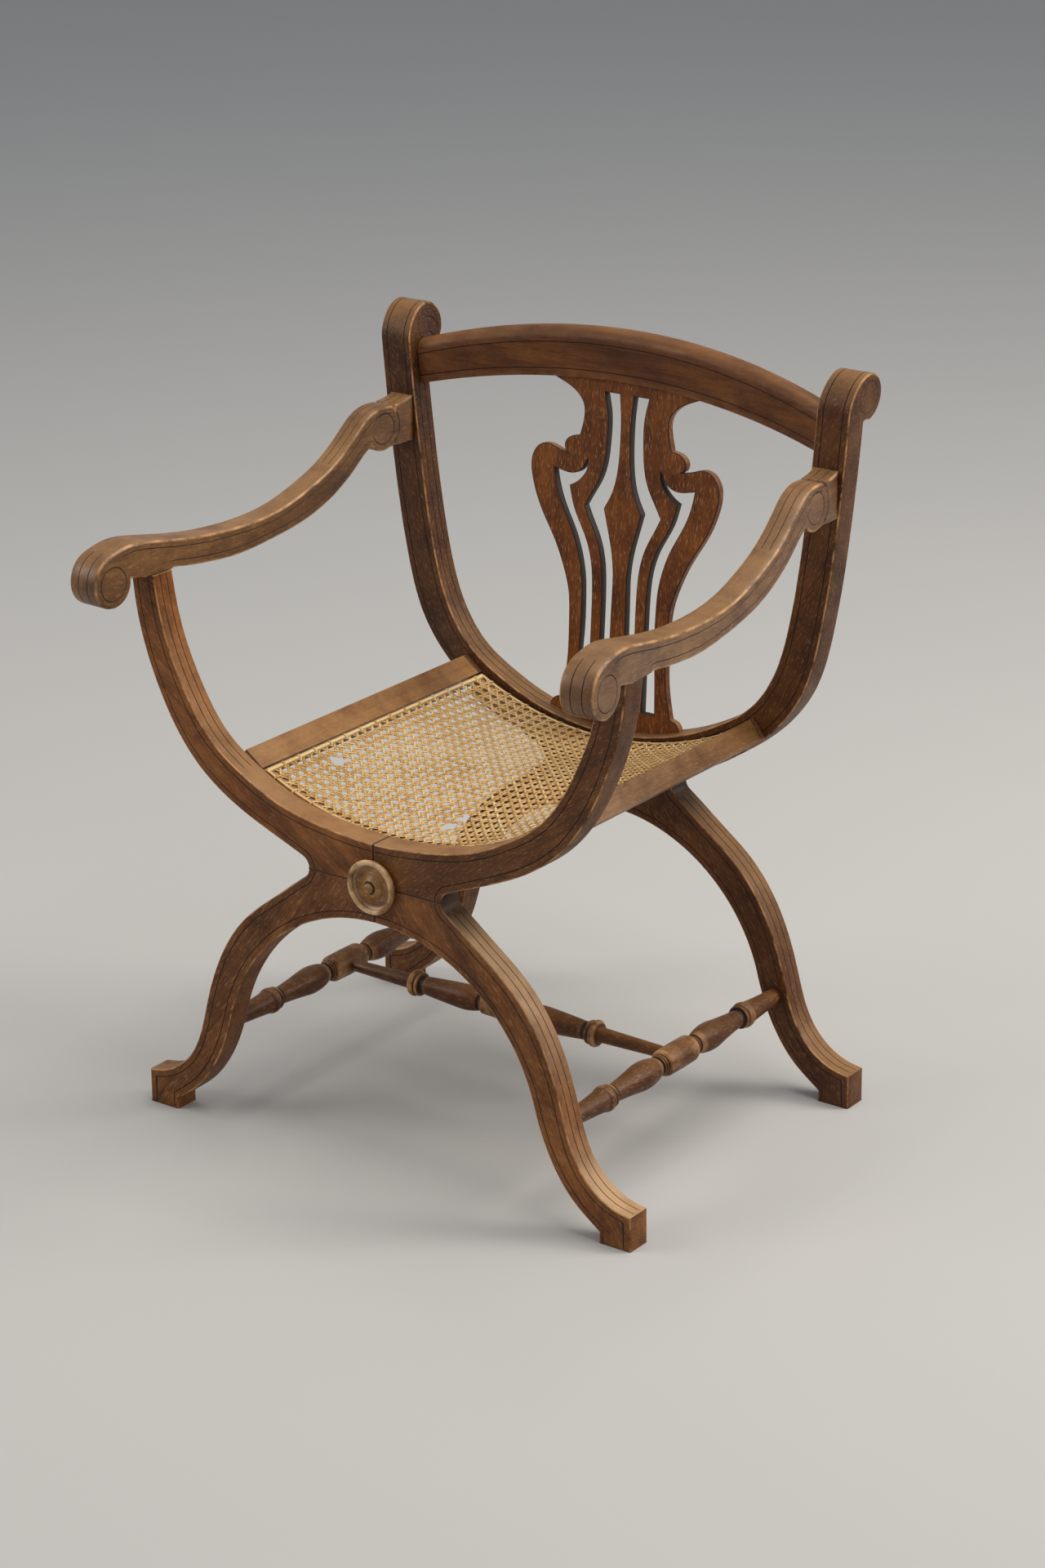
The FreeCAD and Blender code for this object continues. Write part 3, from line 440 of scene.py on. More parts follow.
def sawn(loops, near, far, face_lines=(), wall_lines=(), grid=False):
    """A board sawn to an outline, as a bmesh in (first axis, second axis, depth).

    Its arrises are rounded, and V-cut lines run on its two faces and along the runs that ask for them."""
    mesh, dark, cap, worn = blank_mesh()
    skins = []
    for loop in loops:
        rings = []
        for turn in np.linspace(0, quarter, arris_facets + 1):
            inset, sunk = loop.soft * (1 - math.sin(turn)), loop.soft * (1 - math.cos(turn))
            rings.append((loop.ring(inset), near + sunk, "arris"))
        for place in wall_lines:
            for step in (-line_half_width, 0, line_half_width):
                inset = loop.lined * (0 if step else line_depth)
                rings.append((loop.ring(inset), np.full(len(inset), place + step), "wall" if step else "cut"))
        rings += [(points, near + far - depths, "far arris") for points, depths, _ in rings[arris_facets::-1]]
        verts = [[mesh.verts.new((*p, d)) for p, d in zip(points, depths)] for points, depths, _ in rings]
        marks = [mark for _, _, mark in rings]
        for k in range(1, arris_facets):
            for vert, size in zip(verts[k] + verts[-1 - k], [*loop.soft, *loop.soft]):
                vert[worn] = float(size > joint_arris)

        def is_dark(k, i, j):
            in_line = loop.lined[i] and loop.lined[j] and "cut" in marks[k:k + 2]
            on_arris = marks[k] == marks[k + 1] and "arris" in marks[k]
            glued = on_arris and max(loop.soft[i], loop.soft[j]) <= open_joint
            # Walls of the splat's openings take the near-black finish: painted shade.
            slot_wall = loop.stained and marks[k] != marks[k + 1]
            at_middle = loop.halved and max(np.abs(loop.points[[i, j], 0])) <= open_joint
            return in_line or glued or slot_wall or at_middle

        bridged(mesh, dark, verts, is_dark)
        skins.append((verts, rings))
    for depth, inward, end in ((near, 1, 0), (far, -1, -1)):
        outlines = [rings[end][0] for _, rings in skins]
        owners = [vert for verts, _ in skins for vert in verts[end]]
        coords, edges = [], []
        for points in outlines:
            start = len(coords)
            coords += list(points)
            edges += [(start + i, start + (i + 1) % len(points)) for i in range(len(points))]
        for line in face_lines:
            for shift in (-line_half_width, 0, line_half_width):
                start = len(coords)
                coords += list(offset(line, shift))
                edges += [(start + i, start + i + 1) for i in range(len(line) - 1)]
        if grid:
            low, high = np.min(outlines[0], axis=0) + grid_step / 2, np.max(outlines[0], axis=0)
            xs, zs = (np.arange(low[axis], high[axis], grid_step) for axis in (0, 1))
            spots = np.array([(x, z) for x in xs for z in zs])
            borders = [np.vstack([points, points[:1]]) for points in outlines] + list(face_lines)
            clear = distance_to(spots, borders) > grid_step * grid_clear_share
            coords += list(spots[clear & inside(spots, outlines)])
        made = delaunay_2d_cdt([Vector(c) for c in coords], edges, [], 0, 1e-5)
        flat = np.array([tuple(v) for v in made[0]])
        sunk = line_depth * np.clip(1 - distance_to(flat, face_lines) / line_half_width, 0, 1)
        corners = []
        for (x, z), drop, origins in zip(flat, sunk, made[3]):
            on_edge = [owners[o] for o in origins if o < len(owners)]
            corners.append(on_edge[0] if on_edge else mesh.verts.new((x, z, depth + inward * drop)))
        triangles = np.array(made[2])
        kept = inside(flat[triangles].mean(axis=1), outlines)
        in_cut = sunk[triangles].max(axis=1) > line_depth / 2
        for triangle, cut in zip(triangles[kept], in_cut[kept]):
            members = [corners[i] for i in triangle]
            if len(set(members)) == 3 and not mesh.faces.get(members):
                face = mesh.faces.new(members)
                face[dark], face[cap] = int(cut), 1
    return mesh


def placed(name, data):
    """A new object in the scene."""
    thing = bpy.data.objects.new(name, data)
    bpy.context.scene.collection.objects.link(thing)
    return thing


def handed_over(name, data, node):
    """Lets a mesh stand for its node and ride on the chair."""
    piece = placed(name, data)
    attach(piece, "root")
    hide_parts(node)


def finished(mesh, node, place=lambda *spot: spot, mirror=False, finish=None):
    """Places a wooden piece, in metres, points its faces outwards, shades it and hands it over."""
    for vert in mesh.verts:
        x, y, z = place(*vert.co)
        vert.co = Vector((-x if mirror else x, y + front_y, z)) * mm
    bmesh.ops.remove_doubles(mesh, verts=mesh.verts[:], dist=1e-6)
    bmesh.ops.recalc_face_normals(mesh, faces=mesh.faces[:])
    dark, cap = (mesh.faces.layers.int[layer] for layer in ("dark", "cap"))
    for face in mesh.faces:
        face.smooth = True
        face.material_index = face[dark]
    for edge in mesh.edges:
        if len(edge.link_faces) == 2:
            a, b = edge.link_faces
            edge.smooth = a.normal.angle(b.normal, 0) <= math.radians(sharp_corner) and a[cap] == b[cap]
    data = bpy.data.meshes.new(node + "_oak")
    mesh.to_mesh(data)
    mesh.free()
    for coat in (finish or oaks[node], dark_lines):
        data.materials.append(coat)
    handed_over(node + "_oak", data, node)


# Finishes

def colour(text):
    """An sRGB hex colour in the linear values that a shader takes."""
    channels = [int(text[i:i + 2], 16) / 255 for i in (1, 3, 5)]
    linear = [c / 12.92 if c <= 0.04045 else ((c + 0.055) / 1.055) ** 2.4 for c in channels]
    return (*linear, 1.0)


def fill(tree, node, inputs):
    """Sets or links inputs of a node, by name or in their order."""
    for key, value in inputs.items() if isinstance(inputs, dict) else enumerate(inputs):
        if isinstance(value, bpy.types.NodeSocket):
            tree.links.new(value, node.inputs[key])
        else:
            node.inputs[key].default_value = value


def add(tree, kind, inputs=(), out=0, stops=(), **settings):
    """Adds a node with its settings, inputs and colour stops, and gives one output, or all for None."""
    family = "" if "Node" in kind else tree.bl_idname.removesuffix("Tree")
    made = tree.nodes.new(family + kind)
    for key, value in settings.items():
        setattr(made, key, value)
    fill(tree, made, inputs)
    for i, (place, text) in enumerate(stops):
        band = made.color_ramp.elements
        element = band[i] if i < 2 else band.new(place)
        element.position, element.color = place, colour(text)
    return made.outputs if out is None else made.outputs[out]


def blank_finish(name):
    """A new material with its nodes and the place on the object that its patterns follow."""
    material = bpy.data.materials.new(name)
    material.use_nodes = True
    return material, material.node_tree, add(material.node_tree, "TexCoord", out="Object")


def coated(tree, base, roughness, height, depth, strength=0.3, others=None):
    """Gives the shader its colour, its gloss and its fine relief, of a depth in metres."""
    bump = add(tree, "Bump", {"Height": height, "Strength": strength, "Distance": depth})
    looks = {"Base Color": base, "Roughness": roughness, "Normal": bump, **(others or {})}
    fill(tree, tree.nodes["Principled BSDF"], looks)


def stretched_noise(tree, place, along, across, detail=3.0, rough=0.55):
    """Noise drawn out along the grain: its feature size in millimetres along and across."""
    size = (1 / (along * mm), 1 / (across * mm), 1 / (across * mm))
    drawn = add(tree, "VectorMath", (place, size), operation="MULTIPLY")
    return add(tree, "TexNoise", {"Vector": drawn, "Scale": 1.0, "Detail": detail, "Roughness": rough}, "Fac")


def distance_in_plane(tree, place, axes, middle):
    """Distance from a middle, seen along the axis that axes leaves out."""
    flat = add(tree, "VectorMath", (place, axes), operation="MULTIPLY")
    return add(tree, "VectorMath", (flat, middle), "Value", operation="DISTANCE")


def oak(work, piece, turn, tones, seed, stain_and_painted_light=1.0, worn="#cb9a67", painted_top_light_tint="#a67f55", painted_top_light=0.5, fleck=0.3,
        gloss=0.46, ring=None, polish=0.3, crook_dirt_and_shade=False):
    """Oak sawn from boards, stained, waxed and handled for a century.

    The eye sees quiet straight grain with short dark pores, pale ray flecks, clouds where polish and hands
    have darkened it, upward faces painted paler as painted light from above, and rubbed arrises. turn leads
    the grain to X; the number after the seed, below 1 for a darker piece, holds the board's own darkness and
    painted light and shade; polish is its gloss; the crooks darken with dirt and painted shade; ring is the
    middle and radius of a circle cut into both sides of a roll."""
    material, tree, where = blank_finish(work + "_oak_" + piece)
    shift = (seed * 0.37, seed * 0.21, seed * 0.13)
    grain = add(tree, "Mapping", {"Vector": where, "Rotation": turn, "Location": shift})
    board = stretched_noise(tree, grain, 180, 34, 2.0, 0.5)
    year_rings = stretched_noise(tree, grain, 260, 5.0, 2.0, 0.5)
    fibre = stretched_noise(tree, grain, 30, 0.9, 3.0, 0.6)
    pores = stretched_noise(tree, grain, 6.5, 0.7, 1.0, 0.5)
    rays = stretched_noise(tree, grain, 8.0, 1.1, 1.0, 0.4)
    cloud = stretched_noise(tree, where, 55, 38, 4.0, 0.62)
    rub = stretched_noise(tree, where, 22, 22, 3.0, 0.65)
    normal = add(tree, "NewGeometry", out="Normal")
    facing = add(tree, "SeparateXYZ", [normal], None)
    either_way = add(tree, "SeparateXYZ", [add(tree, "VectorMath", [normal], operation="ABSOLUTE")], None)

    figure = board
    for pattern, weight in ((year_rings, 0.8), (fibre, 0.7)):
        figure = add(tree, "Math", (pattern, weight, figure), operation="MULTIPLY_ADD")
    stops = [(i / (len(tones) - 1), tone) for i, tone in enumerate(tones)]
    ground = add(tree, "ValToRGB", [add(tree, "MapRange", (figure, 0.85, 1.65))], stops=stops)
    handled = add(tree, "MapRange", (cloud, 0.34, 0.66))
    dusk = add(tree, "ValToRGB", [handled], stops=((0, "#a5876c"), (1, "#ffffff")))
    pitted = add(tree, "MapRange", (pores, 0.60, 0.70, 0.0, 0.45))
    # Painted light: upward faces are lightened towards a pale tint, a painted sheen of the light from above.
    painted_top_light_mask = add(tree, "Math", (
        add(tree, "MapRange", (facing["Z"], 0.2, 0.85, 0.0, painted_top_light)),
        add(tree, "MapRange", (cloud, 0.3, 0.6, 0.45, 1.0))), operation="MULTIPLY")
    rubbed = add(tree, "Math", (
        add(tree, "Attribute", out="Fac", attribute_name="arris"),
        add(tree, "MapRange", (rub, 0.38, 0.62, 0.0, 0.95))), operation="MULTIPLY")
    layers = [
        ("MULTIPLY", 0.75, dusk),
        # The piece's own factor: its board's darkness together with painted light and shade.
        ("MULTIPLY", 1.0, (stain_and_painted_light, stain_and_painted_light, stain_and_painted_light, 1.0)),
        ("MIX", add(tree, "MapRange", (rays, 0.60, 0.72, 0.0, fleck)), colour(worn)),
        ("MIX", pitted, colour("#2a1608")),
        ("MIX", painted_top_light_mask, colour(painted_top_light_tint)),
        ("MIX", rubbed, colour(worn)),
    ]
    # Dirt and painted shade in the crooks between posts and legs, strongest on their walls: near black.
    if crook_dirt_and_shade:
        crook = ((crook_x + crook_radius) * mm, 0.0, joint_height * mm)
        both_sides = add(tree, "VectorMath", [where], operation="ABSOLUTE")
        reach = distance_in_plane(tree, both_sides, (1.0, 0.0, 1.0), crook)
        crook_dirt_and_shade_mask = add(tree, "MapRange", (reach, 12 * mm, 44 * mm, 1.0, 0.0))
        for share in ((either_way["Y"], 0.2, 0.8, 1.0, 0.25), (cloud, 0.3, 0.6, 0.55, 1.0)):
            crook_dirt_and_shade_mask = add(tree, "Math", (crook_dirt_and_shade_mask, add(tree, "MapRange", share)), operation="MULTIPLY")
        layers.append(("MIX", crook_dirt_and_shade_mask, colour("#22140a")))
    if ring:
        y, z, radius = (size * mm for size in ring)
        reach = distance_in_plane(tree, where, (0.0, 1.0, 1.0), (0.0, y, z))
        away = add(tree, "Math", (reach, radius), operation="SUBTRACT")
        away = add(tree, "Math", [away], operation="ABSOLUTE")
        cut_ring = add(tree, "Math", (
            add(tree, "MapRange", (away, 0.4 * mm, 0.8 * mm, 1.0, 0.0)),
            add(tree, "MapRange", (either_way["X"], 0.85, 0.95))), operation="MULTIPLY")
        layers.append(("MIX", cut_ring, colour("#2a1a0e")))
        pitted = add(tree, "Math", (cut_ring, 3.0, pitted), operation="MULTIPLY_ADD")
    for how, share, tint in layers:
        ground = add(tree, "Mix", {0: share, 6: ground, 7: tint}, 2, data_type="RGBA", blend_type=how)
    sheen = add(tree, "MapRange", (cloud, 0.3, 0.7, gloss + 0.12, gloss - 0.06))
    relief = add(tree, "Math", (fibre, pitted), operation="SUBTRACT")
    coated(tree, ground, sheen, relief, 0.0003, others={"IOR": 1.5, "Specular IOR Level": polish})
    oaks[piece] = material


def cane_finish(name):
    """Split rattan cane, woven damp and dried taut: straw yellow, smooth and faintly glossy on its bark side.

    Strands differ in tone, some browned by age, with a fine mottle."""
    material, tree, where = blank_finish(name)
    tone = add(tree, "Attribute", out="Fac", attribute_name="strand_tone")
    mottle = stretched_noise(tree, where, 5, 5, 2.0, 0.6)
    for pattern in (stretched_noise(tree, where, 90, 90, 3.0, 0.6), mottle):
        tone = add(tree, "Math", (tone, pattern), operation="ADD")
    stops = ((0, "#b98845"), (0.35, "#d9ae6c"), (0.7, "#e9c488"), (1, "#f2d6a4"))
    straw = add(tree, "ValToRGB", [add(tree, "MapRange", (tone, 0.75, 2.1))], stops=stops)
    coated(tree, straw, 0.42, mottle, 0.0002, 0.25)
    return material


def plain_finish(name, base, roughness, mottle, size, depth=0.0002):
    """A quiet finish with a mottled colour and a fine bump, for what lies in shade."""
    material, tree, where = blank_finish(name)
    noise = stretched_noise(tree, where, size * 4, size)
    coated(tree, add(tree, "ValToRGB", [noise], stops=((0.3, mottle), (0.7, base))), roughness, noise, depth)
    return material


# Split cane, dried taut: see cane_finish
split_cane = cane_finish("split_rattan_cane")
# Old wax and dust pressed into the cut lines, and painted shade on the walls of the splat's openings and at
# the boss's foot: nearly black, dull
dark_lines = plain_finish("wax_dark_oak_in_the_cut_lines", "#2c1a0d", 0.6, "#1c1009", 6)
# Beech, planed and left unpolished: pale pinkish brown
beech = plain_finish("planed_beech", "#b08a62", 0.6, "#94704c", 3)
# Softwood packing, stained to match: mid brown, plain
packing = plain_finish("stained_packing_wood", "#7a5333", 0.55, "#5f3d23", 3)

frame_tones = ("#55300f", "#6f4218", "#865222", "#97622d")
post_tones = ("#4a260b", "#613612", "#75461b", "#875425")
arm_tones = ("#5c3a18", "#785024", "#8f6431", "#a1763f")
splat_tones = ("#5a2f0c", "#743f12", "#8a4f1a", "#9c6026")
rail_tones = ("#744920", "#8f6130", "#a57740", "#b48950")


def climbing(degrees):
    """Turns the grain of a frame piece so that it climbs at an angle in the front view."""
    return (0.0, math.radians(degrees), 0.0)


crosswise = (0.0, 0.0, 0.0)
lengthwise = (0.0, 0.0, -quarter)
roll_ring = (front_y + frame_spacing + roll_back - roll_radius, back_post_top_z - roll_radius, 17.0)
oaks = {}
# Painted light from above lightens upward faces, most on the front posts and the right front leg.
# The crooks of the posts and legs, all but the back posts, are darkened with dirt and painted shade.
# The number after each seed scales a piece's colour: partly its board's own darkness, partly painted light
# and shade, so mirrored twins differ.
oak("waxed", "front_post_right", climbing(35), frame_tones, 1, 0.72, painted_top_light=0.85, crook_dirt_and_shade=True)
oak("waxed", "front_post_left", climbing(-35), frame_tones, 2, 1.3, painted_top_light=0.85, crook_dirt_and_shade=True)
oak("waxed", "front_leg_right", climbing(-52), frame_tones, 3, 1.1, painted_top_light=0.95, painted_top_light_tint="#c9a47c", crook_dirt_and_shade=True)
oak("waxed", "front_leg_left", climbing(52), frame_tones, 4, 0.95, painted_top_light=0.7, crook_dirt_and_shade=True)
oak("waxed", "back_post_right", climbing(62), post_tones, 5, 0.75, ring=roll_ring)
oak("waxed", "back_post_left", climbing(-62), post_tones, 6, 0.65, ring=roll_ring)
oak("waxed", "back_leg_right", climbing(-52), post_tones, 7, 0.9, painted_top_light=0.7, crook_dirt_and_shade=True)
oak("waxed", "back_leg_left", climbing(52), post_tones, 8, 0.9, crook_dirt_and_shade=True)
oak("hand_worn", "arm_right", lengthwise, arm_tones, 9, 0.9, gloss=0.38, polish=0.6)
oak("hand_worn", "arm_left", lengthwise, arm_tones, 10, 0.9, gloss=0.38, polish=0.6)
oak("waxed", "crest_rail", crosswise, post_tones, 11, fleck=0.1, worn="#9a6c4c", painted_top_light=0.25)
oak("quartered", "splat", climbing(90), splat_tones, 12, fleck=0.5)
oak("waxed", "seat_rail_right", lengthwise, rail_tones, 13, 0.7, painted_top_light=0.3)
oak("waxed", "seat_rail_left", lengthwise, rail_tones, 17)
oak("turned", "side_stretchers", lengthwise, post_tones, 14, 0.8, gloss=0.38, painted_top_light=0.2)
oak("turned", "cross_stretcher", crosswise, post_tones, 15, 0.8, gloss=0.38, painted_top_light=0.2)
oak("turned", "boss", crosswise, rail_tones, 16, gloss=0.34, polish=0.5, worn="#e2bd92")


# Frames

def crook_arc(angle):
    """The crook between a post and its leg, from the glue line to where the outline leaves it."""
    points = arc((0, 0), crook_radius, 180, 90 + abs(angle), 1.5)
    return points * [1, math.copysign(1, angle)] + [crook_x + crook_radius, joint_height]


def post_curves(shares, half_gap, top_z, width_low, width_top):
    """The inside and the outside of a post, cut off at its top."""
    points = [(0, seat_dip_z)] + [(x * half_gap, seat_dip_z + z * (top_z - seat_dip_z)) for x, z in shares]
    inner = Curve(points, (1, 0), np.subtract(points[-1], points[-2]))
    start = post_outer_shares[0]
    taper = (width_top - width_low) / (1 - start)
    outside = [inner.beside(share, width_low + taper * (share - start)) for share in post_outer_shares]
    outer = Curve([crook_arc(crook_post_angle)[-1]] + outside, heading(crook_post_angle), inner.at(1)[1])
    return inner.run(), outer.run()


def post_loop(inner, outer, top_z, lined_from):
    """The outline of a right post, with the V-cut lines of its faces; those inside it start at a height."""
    inner, outer = below(inner, top_z), below(outer, top_z)
    start = int(np.argmax(inner[:, 1] >= lined_from))
    crook = crook_arc(crook_post_angle)
    middle_top = (0, seat_dip_z - open_joint)
    loop = Loop(
        run_of(straight_run((0, joint_height), (crook_x, joint_height), 8), crook_joint),
        run_of(crook), run_of(outer),
        run_of(straight_run(outer[-1], inner[-1], 6), joint_arris),
        run_of(inner[start:][::-1], lined=True),
        run_of(joined(inner[1:start + 1][::-1], [(open_joint, seat_dip_z), middle_top])),
        run_of(straight_run(middle_top, (0, joint_height), 6), open_joint),
        halved=True)
    return loop, [offset(inner, -line_inset)[1:-1], offset(joined(crook, outer), line_inset)[1:-1]]


def leg_loop():
    """The outline of a right leg, with the V-cut lines of its faces."""
    centre = np.array([0, arch_top_z - arch_radius])
    on_arch = lambda angle, rise=0: centre + heading(90 - angle) * (arch_radius + rise)
    spring = on_arch(arch_sweep)
    heel, toe = np.array([foot_reach - foot_pad_width, heel_height]), np.array([foot_reach, toe_height])
    points = [spring] + [spring + np.array(share) * (heel - spring) for share in leg_sweep_shares] + [heel]
    sweep = Curve(points, heading(-arch_sweep), heading(-heel_slope))
    crook = crook_arc(-crook_leg_angle)
    outside = [crook[-1]]
    narrowing = (leg_width_top - leg_width_ankle) / 2
    level = leg_outer_angle_shares[1]
    for share in leg_outer_angle_shares:
        width = leg_width_top - narrowing * max(0, share - level) / (1 - level)
        outside.append(on_arch(share * arch_sweep, width))
    for share in leg_ankle_shares:
        width = leg_width_ankle + narrowing * (1 - share / leg_ankle_shares[-1])
        outside.append(sweep.beside(share, -width))
    outside += [toe + [-toe_back, toe_rise], toe]
    outer = Curve(outside, heading(-crook_leg_angle), outside[-1] - outside[-2]).run()
    arch_points = int(arch_radius * math.radians(arch_sweep) / curve_step)
    inside_run = joined([on_arch(a) for a in np.linspace(0, arch_sweep, arch_points)], sweep.run())
    middle_low = (0, arch_top_z + open_joint)
    loop = Loop(
        run_of(joined([middle_low, (open_joint, arch_top_z)], inside_run[1:])),
        run_of(straight_run(heel, (heel[0], 0))),
        run_of(straight_run((heel[0], 0), (foot_reach, 0), 6), crisp_arris),
        run_of(straight_run((foot_reach, 0), toe)),
        run_of(outer[::-1], lined=True),
        run_of(crook[::-1]),
        run_of(straight_run((crook_x, joint_height), (0, joint_height), 8), crook_joint),
        run_of(straight_run((0, joint_height), middle_low, 6), open_joint),
        halved=True)
    low_line = offset(inside_run, line_inset)[1:]
    high_line = below(offset(joined(crook, outer), -line_inset)[1:], foot_reach - line_inset, axis=0)
    return loop, [joined(line, [(line[-1][0], line_end_z)]) for line in (low_line, high_line)]


def in_frame(y):
    """Places a frame piece: the outline stands upright, its depth runs back from y."""
    return lambda a, b, c: (a, c + y, b)


edge_lines = (frame_thickness / 3, frame_thickness * 2 / 3)

for side, mirror in mirrored.items():
    inner, outer = post_curves(
        front_post_shares, front_post_inner_x, front_post_top_z, front_post_width, front_post_width_top)
    loop, lines = post_loop(inner, outer, front_post_top_z, seat_dip_z + front_line_rise)
    finished(sawn([loop], 0, frame_thickness, lines, edge_lines), "front_post_" + side, in_frame(0), mirror)
    for row, y in (("front", 0), ("back", frame_spacing)):
        loop, lines = leg_loop()
        mesh = sawn([loop], 0, frame_thickness, lines, edge_lines)
        finished(mesh, row + "_leg_" + side, in_frame(y), mirror)


# Back posts, rolled backwards at the top

back_inner, back_outer = post_curves(
    back_post_shares, back_post_inner_x, back_post_top_z, back_post_width, back_post_width)
lip_z = back_post_top_z - 2 * roll_radius
roll_centre = np.array([roll_back - roll_radius, back_post_top_z - roll_radius])
shoulder = np.array([0, back_post_top_z - roll_shoulder])
roll_top = roll_centre + np.array([0, roll_radius])
roll_under = roll_centre + heading(roll_under_angle) * roll_radius
roll_front = joined(
    straight_run((0, lip_z), shoulder), Curve([shoulder, roll_top], (0, 1), (1, 0)).run(),
    arc(roll_centre, roll_radius, 90, roll_under_angle))
roll_reach = reach_along(roll_front)
roll_length = roll_reach[-1]


def rolled(x, z, y):
    """Bends the top of a straight post back over its roll; z counts along the post's front face."""
    if z <= lip_z:
        return x, y + frame_spacing, z
    reach = z - lip_z
    front = np.array([np.interp(reach, roll_reach, roll_front[:, i]) for i in (0, 1)])
    back = np.array([frame_thickness, lip_z]) + (roll_under - [frame_thickness, lip_z]) * reach / roll_length
    place = front + (back - front) * y / frame_thickness
    lean = x_at(back_inner, min(place[1], back_post_top_z)) - x_at(back_inner, lip_z)
    return x + lean, place[0] + frame_spacing, place[1]


for side, mirror in mirrored.items():
    top = lip_z + roll_length
    low_parts = (below(line, lip_z) for line in (back_inner, back_outer))
    inner, outer = (joined(line, straight_run(line[-1], (line[-1][0], top))) for line in low_parts)
    loop, lines = post_loop(inner, outer, top - 0.01, seat_dip_z + back_line_rise)
    mesh = sawn([loop], 0, frame_thickness, lines, edge_lines, grid=True)
    finished(mesh, "back_post_" + side, rolled, mirror)


# Crest rail and splat

def bowed(x, middle, fall):
    """The height of a bow of the crest rail, which falls by this much where it meets the posts."""
    radius = (back_post_inner_x ** 2 + fall ** 2) / (2 * fall)
    return middle - radius + math.sqrt(radius ** 2 - x ** 2)


def crest_section():
    """The rail's section, up its front and down its back: depth, height from a bow, bow, wear, cut or not."""
    def rounded(depth, height, radius, start, end, count, bow, wear):
        return [(depth + radius * math.cos(t), height + radius * math.sin(t), bow, wear, 0)
                for t in np.radians(np.linspace(start, end, count))]

    back, soft, v = frame_thickness - crest_inset, crest_arris, line_half_width
    points = rounded(soft, soft, soft, 270, 180, 4, "low", 0.35)
    for height, bow in ((line_inset + 1, "low"), (-crest_rounding - 3, "high")):
        points += [(0, height - v, bow, 0, 1), (line_depth, height, bow, 0, 1), (0, height + v, bow, 0, 0)]
    points += rounded(crest_rounding, -crest_rounding, crest_rounding, 180, 90, 9, "high", 0.06)
    points += rounded(back - soft, -soft, soft, 90, 0, 4, "high", 0.5)
    return points + rounded(back - soft, soft, soft, 0, -90, 4, "low", 0)


def crest_mesh(stations=110, gap=0.8):
    """The crest rail, bowed upwards and backwards, each end scribed to the slope of its post."""
    mesh, dark, cap, worn = blank_mesh()
    section = crest_section()
    bows = {"high": (crest_top_z, crest_bow), "low": (crest_low_z, crest_low_bow)}

    def spot(share, point, back):
        x = back_post_inner_x
        for _ in range(4):
            z = bowed(x * share, *bows[point[2]]) + point[1]
            x = x_at(back_inner, z) - gap - back
        x *= share
        return np.array([x, z, crest_inset + crest_back_bow * (1 - (x / back_post_inner_x) ** 2) + point[0]])

    shares = [-1.0, *np.linspace(-1, 1, stations), 1.0]
    rings = []
    for k, share in enumerate(shares):
        end = k in (0, len(shares) - 1)
        places = np.array([spot(share, point, 0 if end else joint_arris) for point in section])
        if end:
            inward = places.mean(axis=0) - places
            places += inward / np.linalg.norm(inward, axis=1)[:, None] * joint_arris
        rings.append([mesh.verts.new(place) for place in places])
        for vert, point in zip(rings[-1], section):
            vert[worn] = point[3]
    bridged(mesh, dark, rings, lambda k, i, j: section[i][4] or k in (0, len(rings) - 2))
    for ring in (rings[0], rings[-1]):
        mesh.faces.new(ring)[cap] = 1
    return mesh


finished(crest_mesh(), "crest_rail", in_frame(frame_spacing))


def splat_run(shares):
    """A smooth stretch of the splat's outline through shares of its half width and its height."""
    scale = np.array([splat_half_width, splat_high_z - splat_low_z])
    points = np.array(shares) * scale + [0, splat_low_z]
    return Curve(points, points[1] - points[0], points[-1] - points[-2]).run(2.2)


def reflected(line):
    return (np.array(line) * [-1, 1])[::-1]


def splat_loops():
    """The outline of the splat and its four openings."""
    edge_shares = (splat_ear_shares, splat_wing_shares, splat_lobe_shares, splat_cusp_shares)
    up = joined(*[splat_run(shares)[::-1] for shares in edge_shares])
    low, high = up[0][1] - splat_tongue_low, up[-1][1] + splat_tongue_high
    right = joined([(0, low), (up[0][0], low)], up, [(up[-1][0], high), (0, high)])
    loops = [Loop(run_of(joined(right, reflected(right), right[:1]), crisp_arris))]
    for slot in (outer_slot_shares, inner_slot_shares):
        opening = joined(*[splat_run(shares) for shares in slot])
        opening = np.vstack([opening, opening[:1]])
        area = np.sum(opening[:-1, 0] * opening[1:, 1] - opening[1:, 0] * opening[:-1, 1])
        opening = opening if area < 0 else opening[::-1]
        # The walls of these openings are painted near black as painted shade.
        loops += [Loop(run_of(line, crisp_arris), stained=True) for line in (opening, reflected(opening))]
    return loops


splat_lean = math.atan2(splat_head_y - splat_foot_y, splat_high_z - splat_low_z)


def leaned(a, b, c):
    """Places the splat upright at its foot, then leans it back to meet the crest rail."""
    rise = b - splat_low_z
    y = splat_foot_y + c * math.cos(splat_lean) + rise * math.sin(splat_lean)
    return a, y, splat_low_z + rise * math.cos(splat_lean) - c * math.sin(splat_lean)


finished(sawn(splat_loops(), 0, splat_thickness), "splat", leaned)


# Arms

arm_run = math.hypot(frame_spacing + arm_overhang, arm_front_x - arm_back_x)
arm_splay = math.atan2(arm_front_x - arm_back_x, frame_spacing + arm_overhang)


def arm_point(share):
    return np.array([share[0] * arm_run, front_post_top_z + share[1] * arm_end_top])


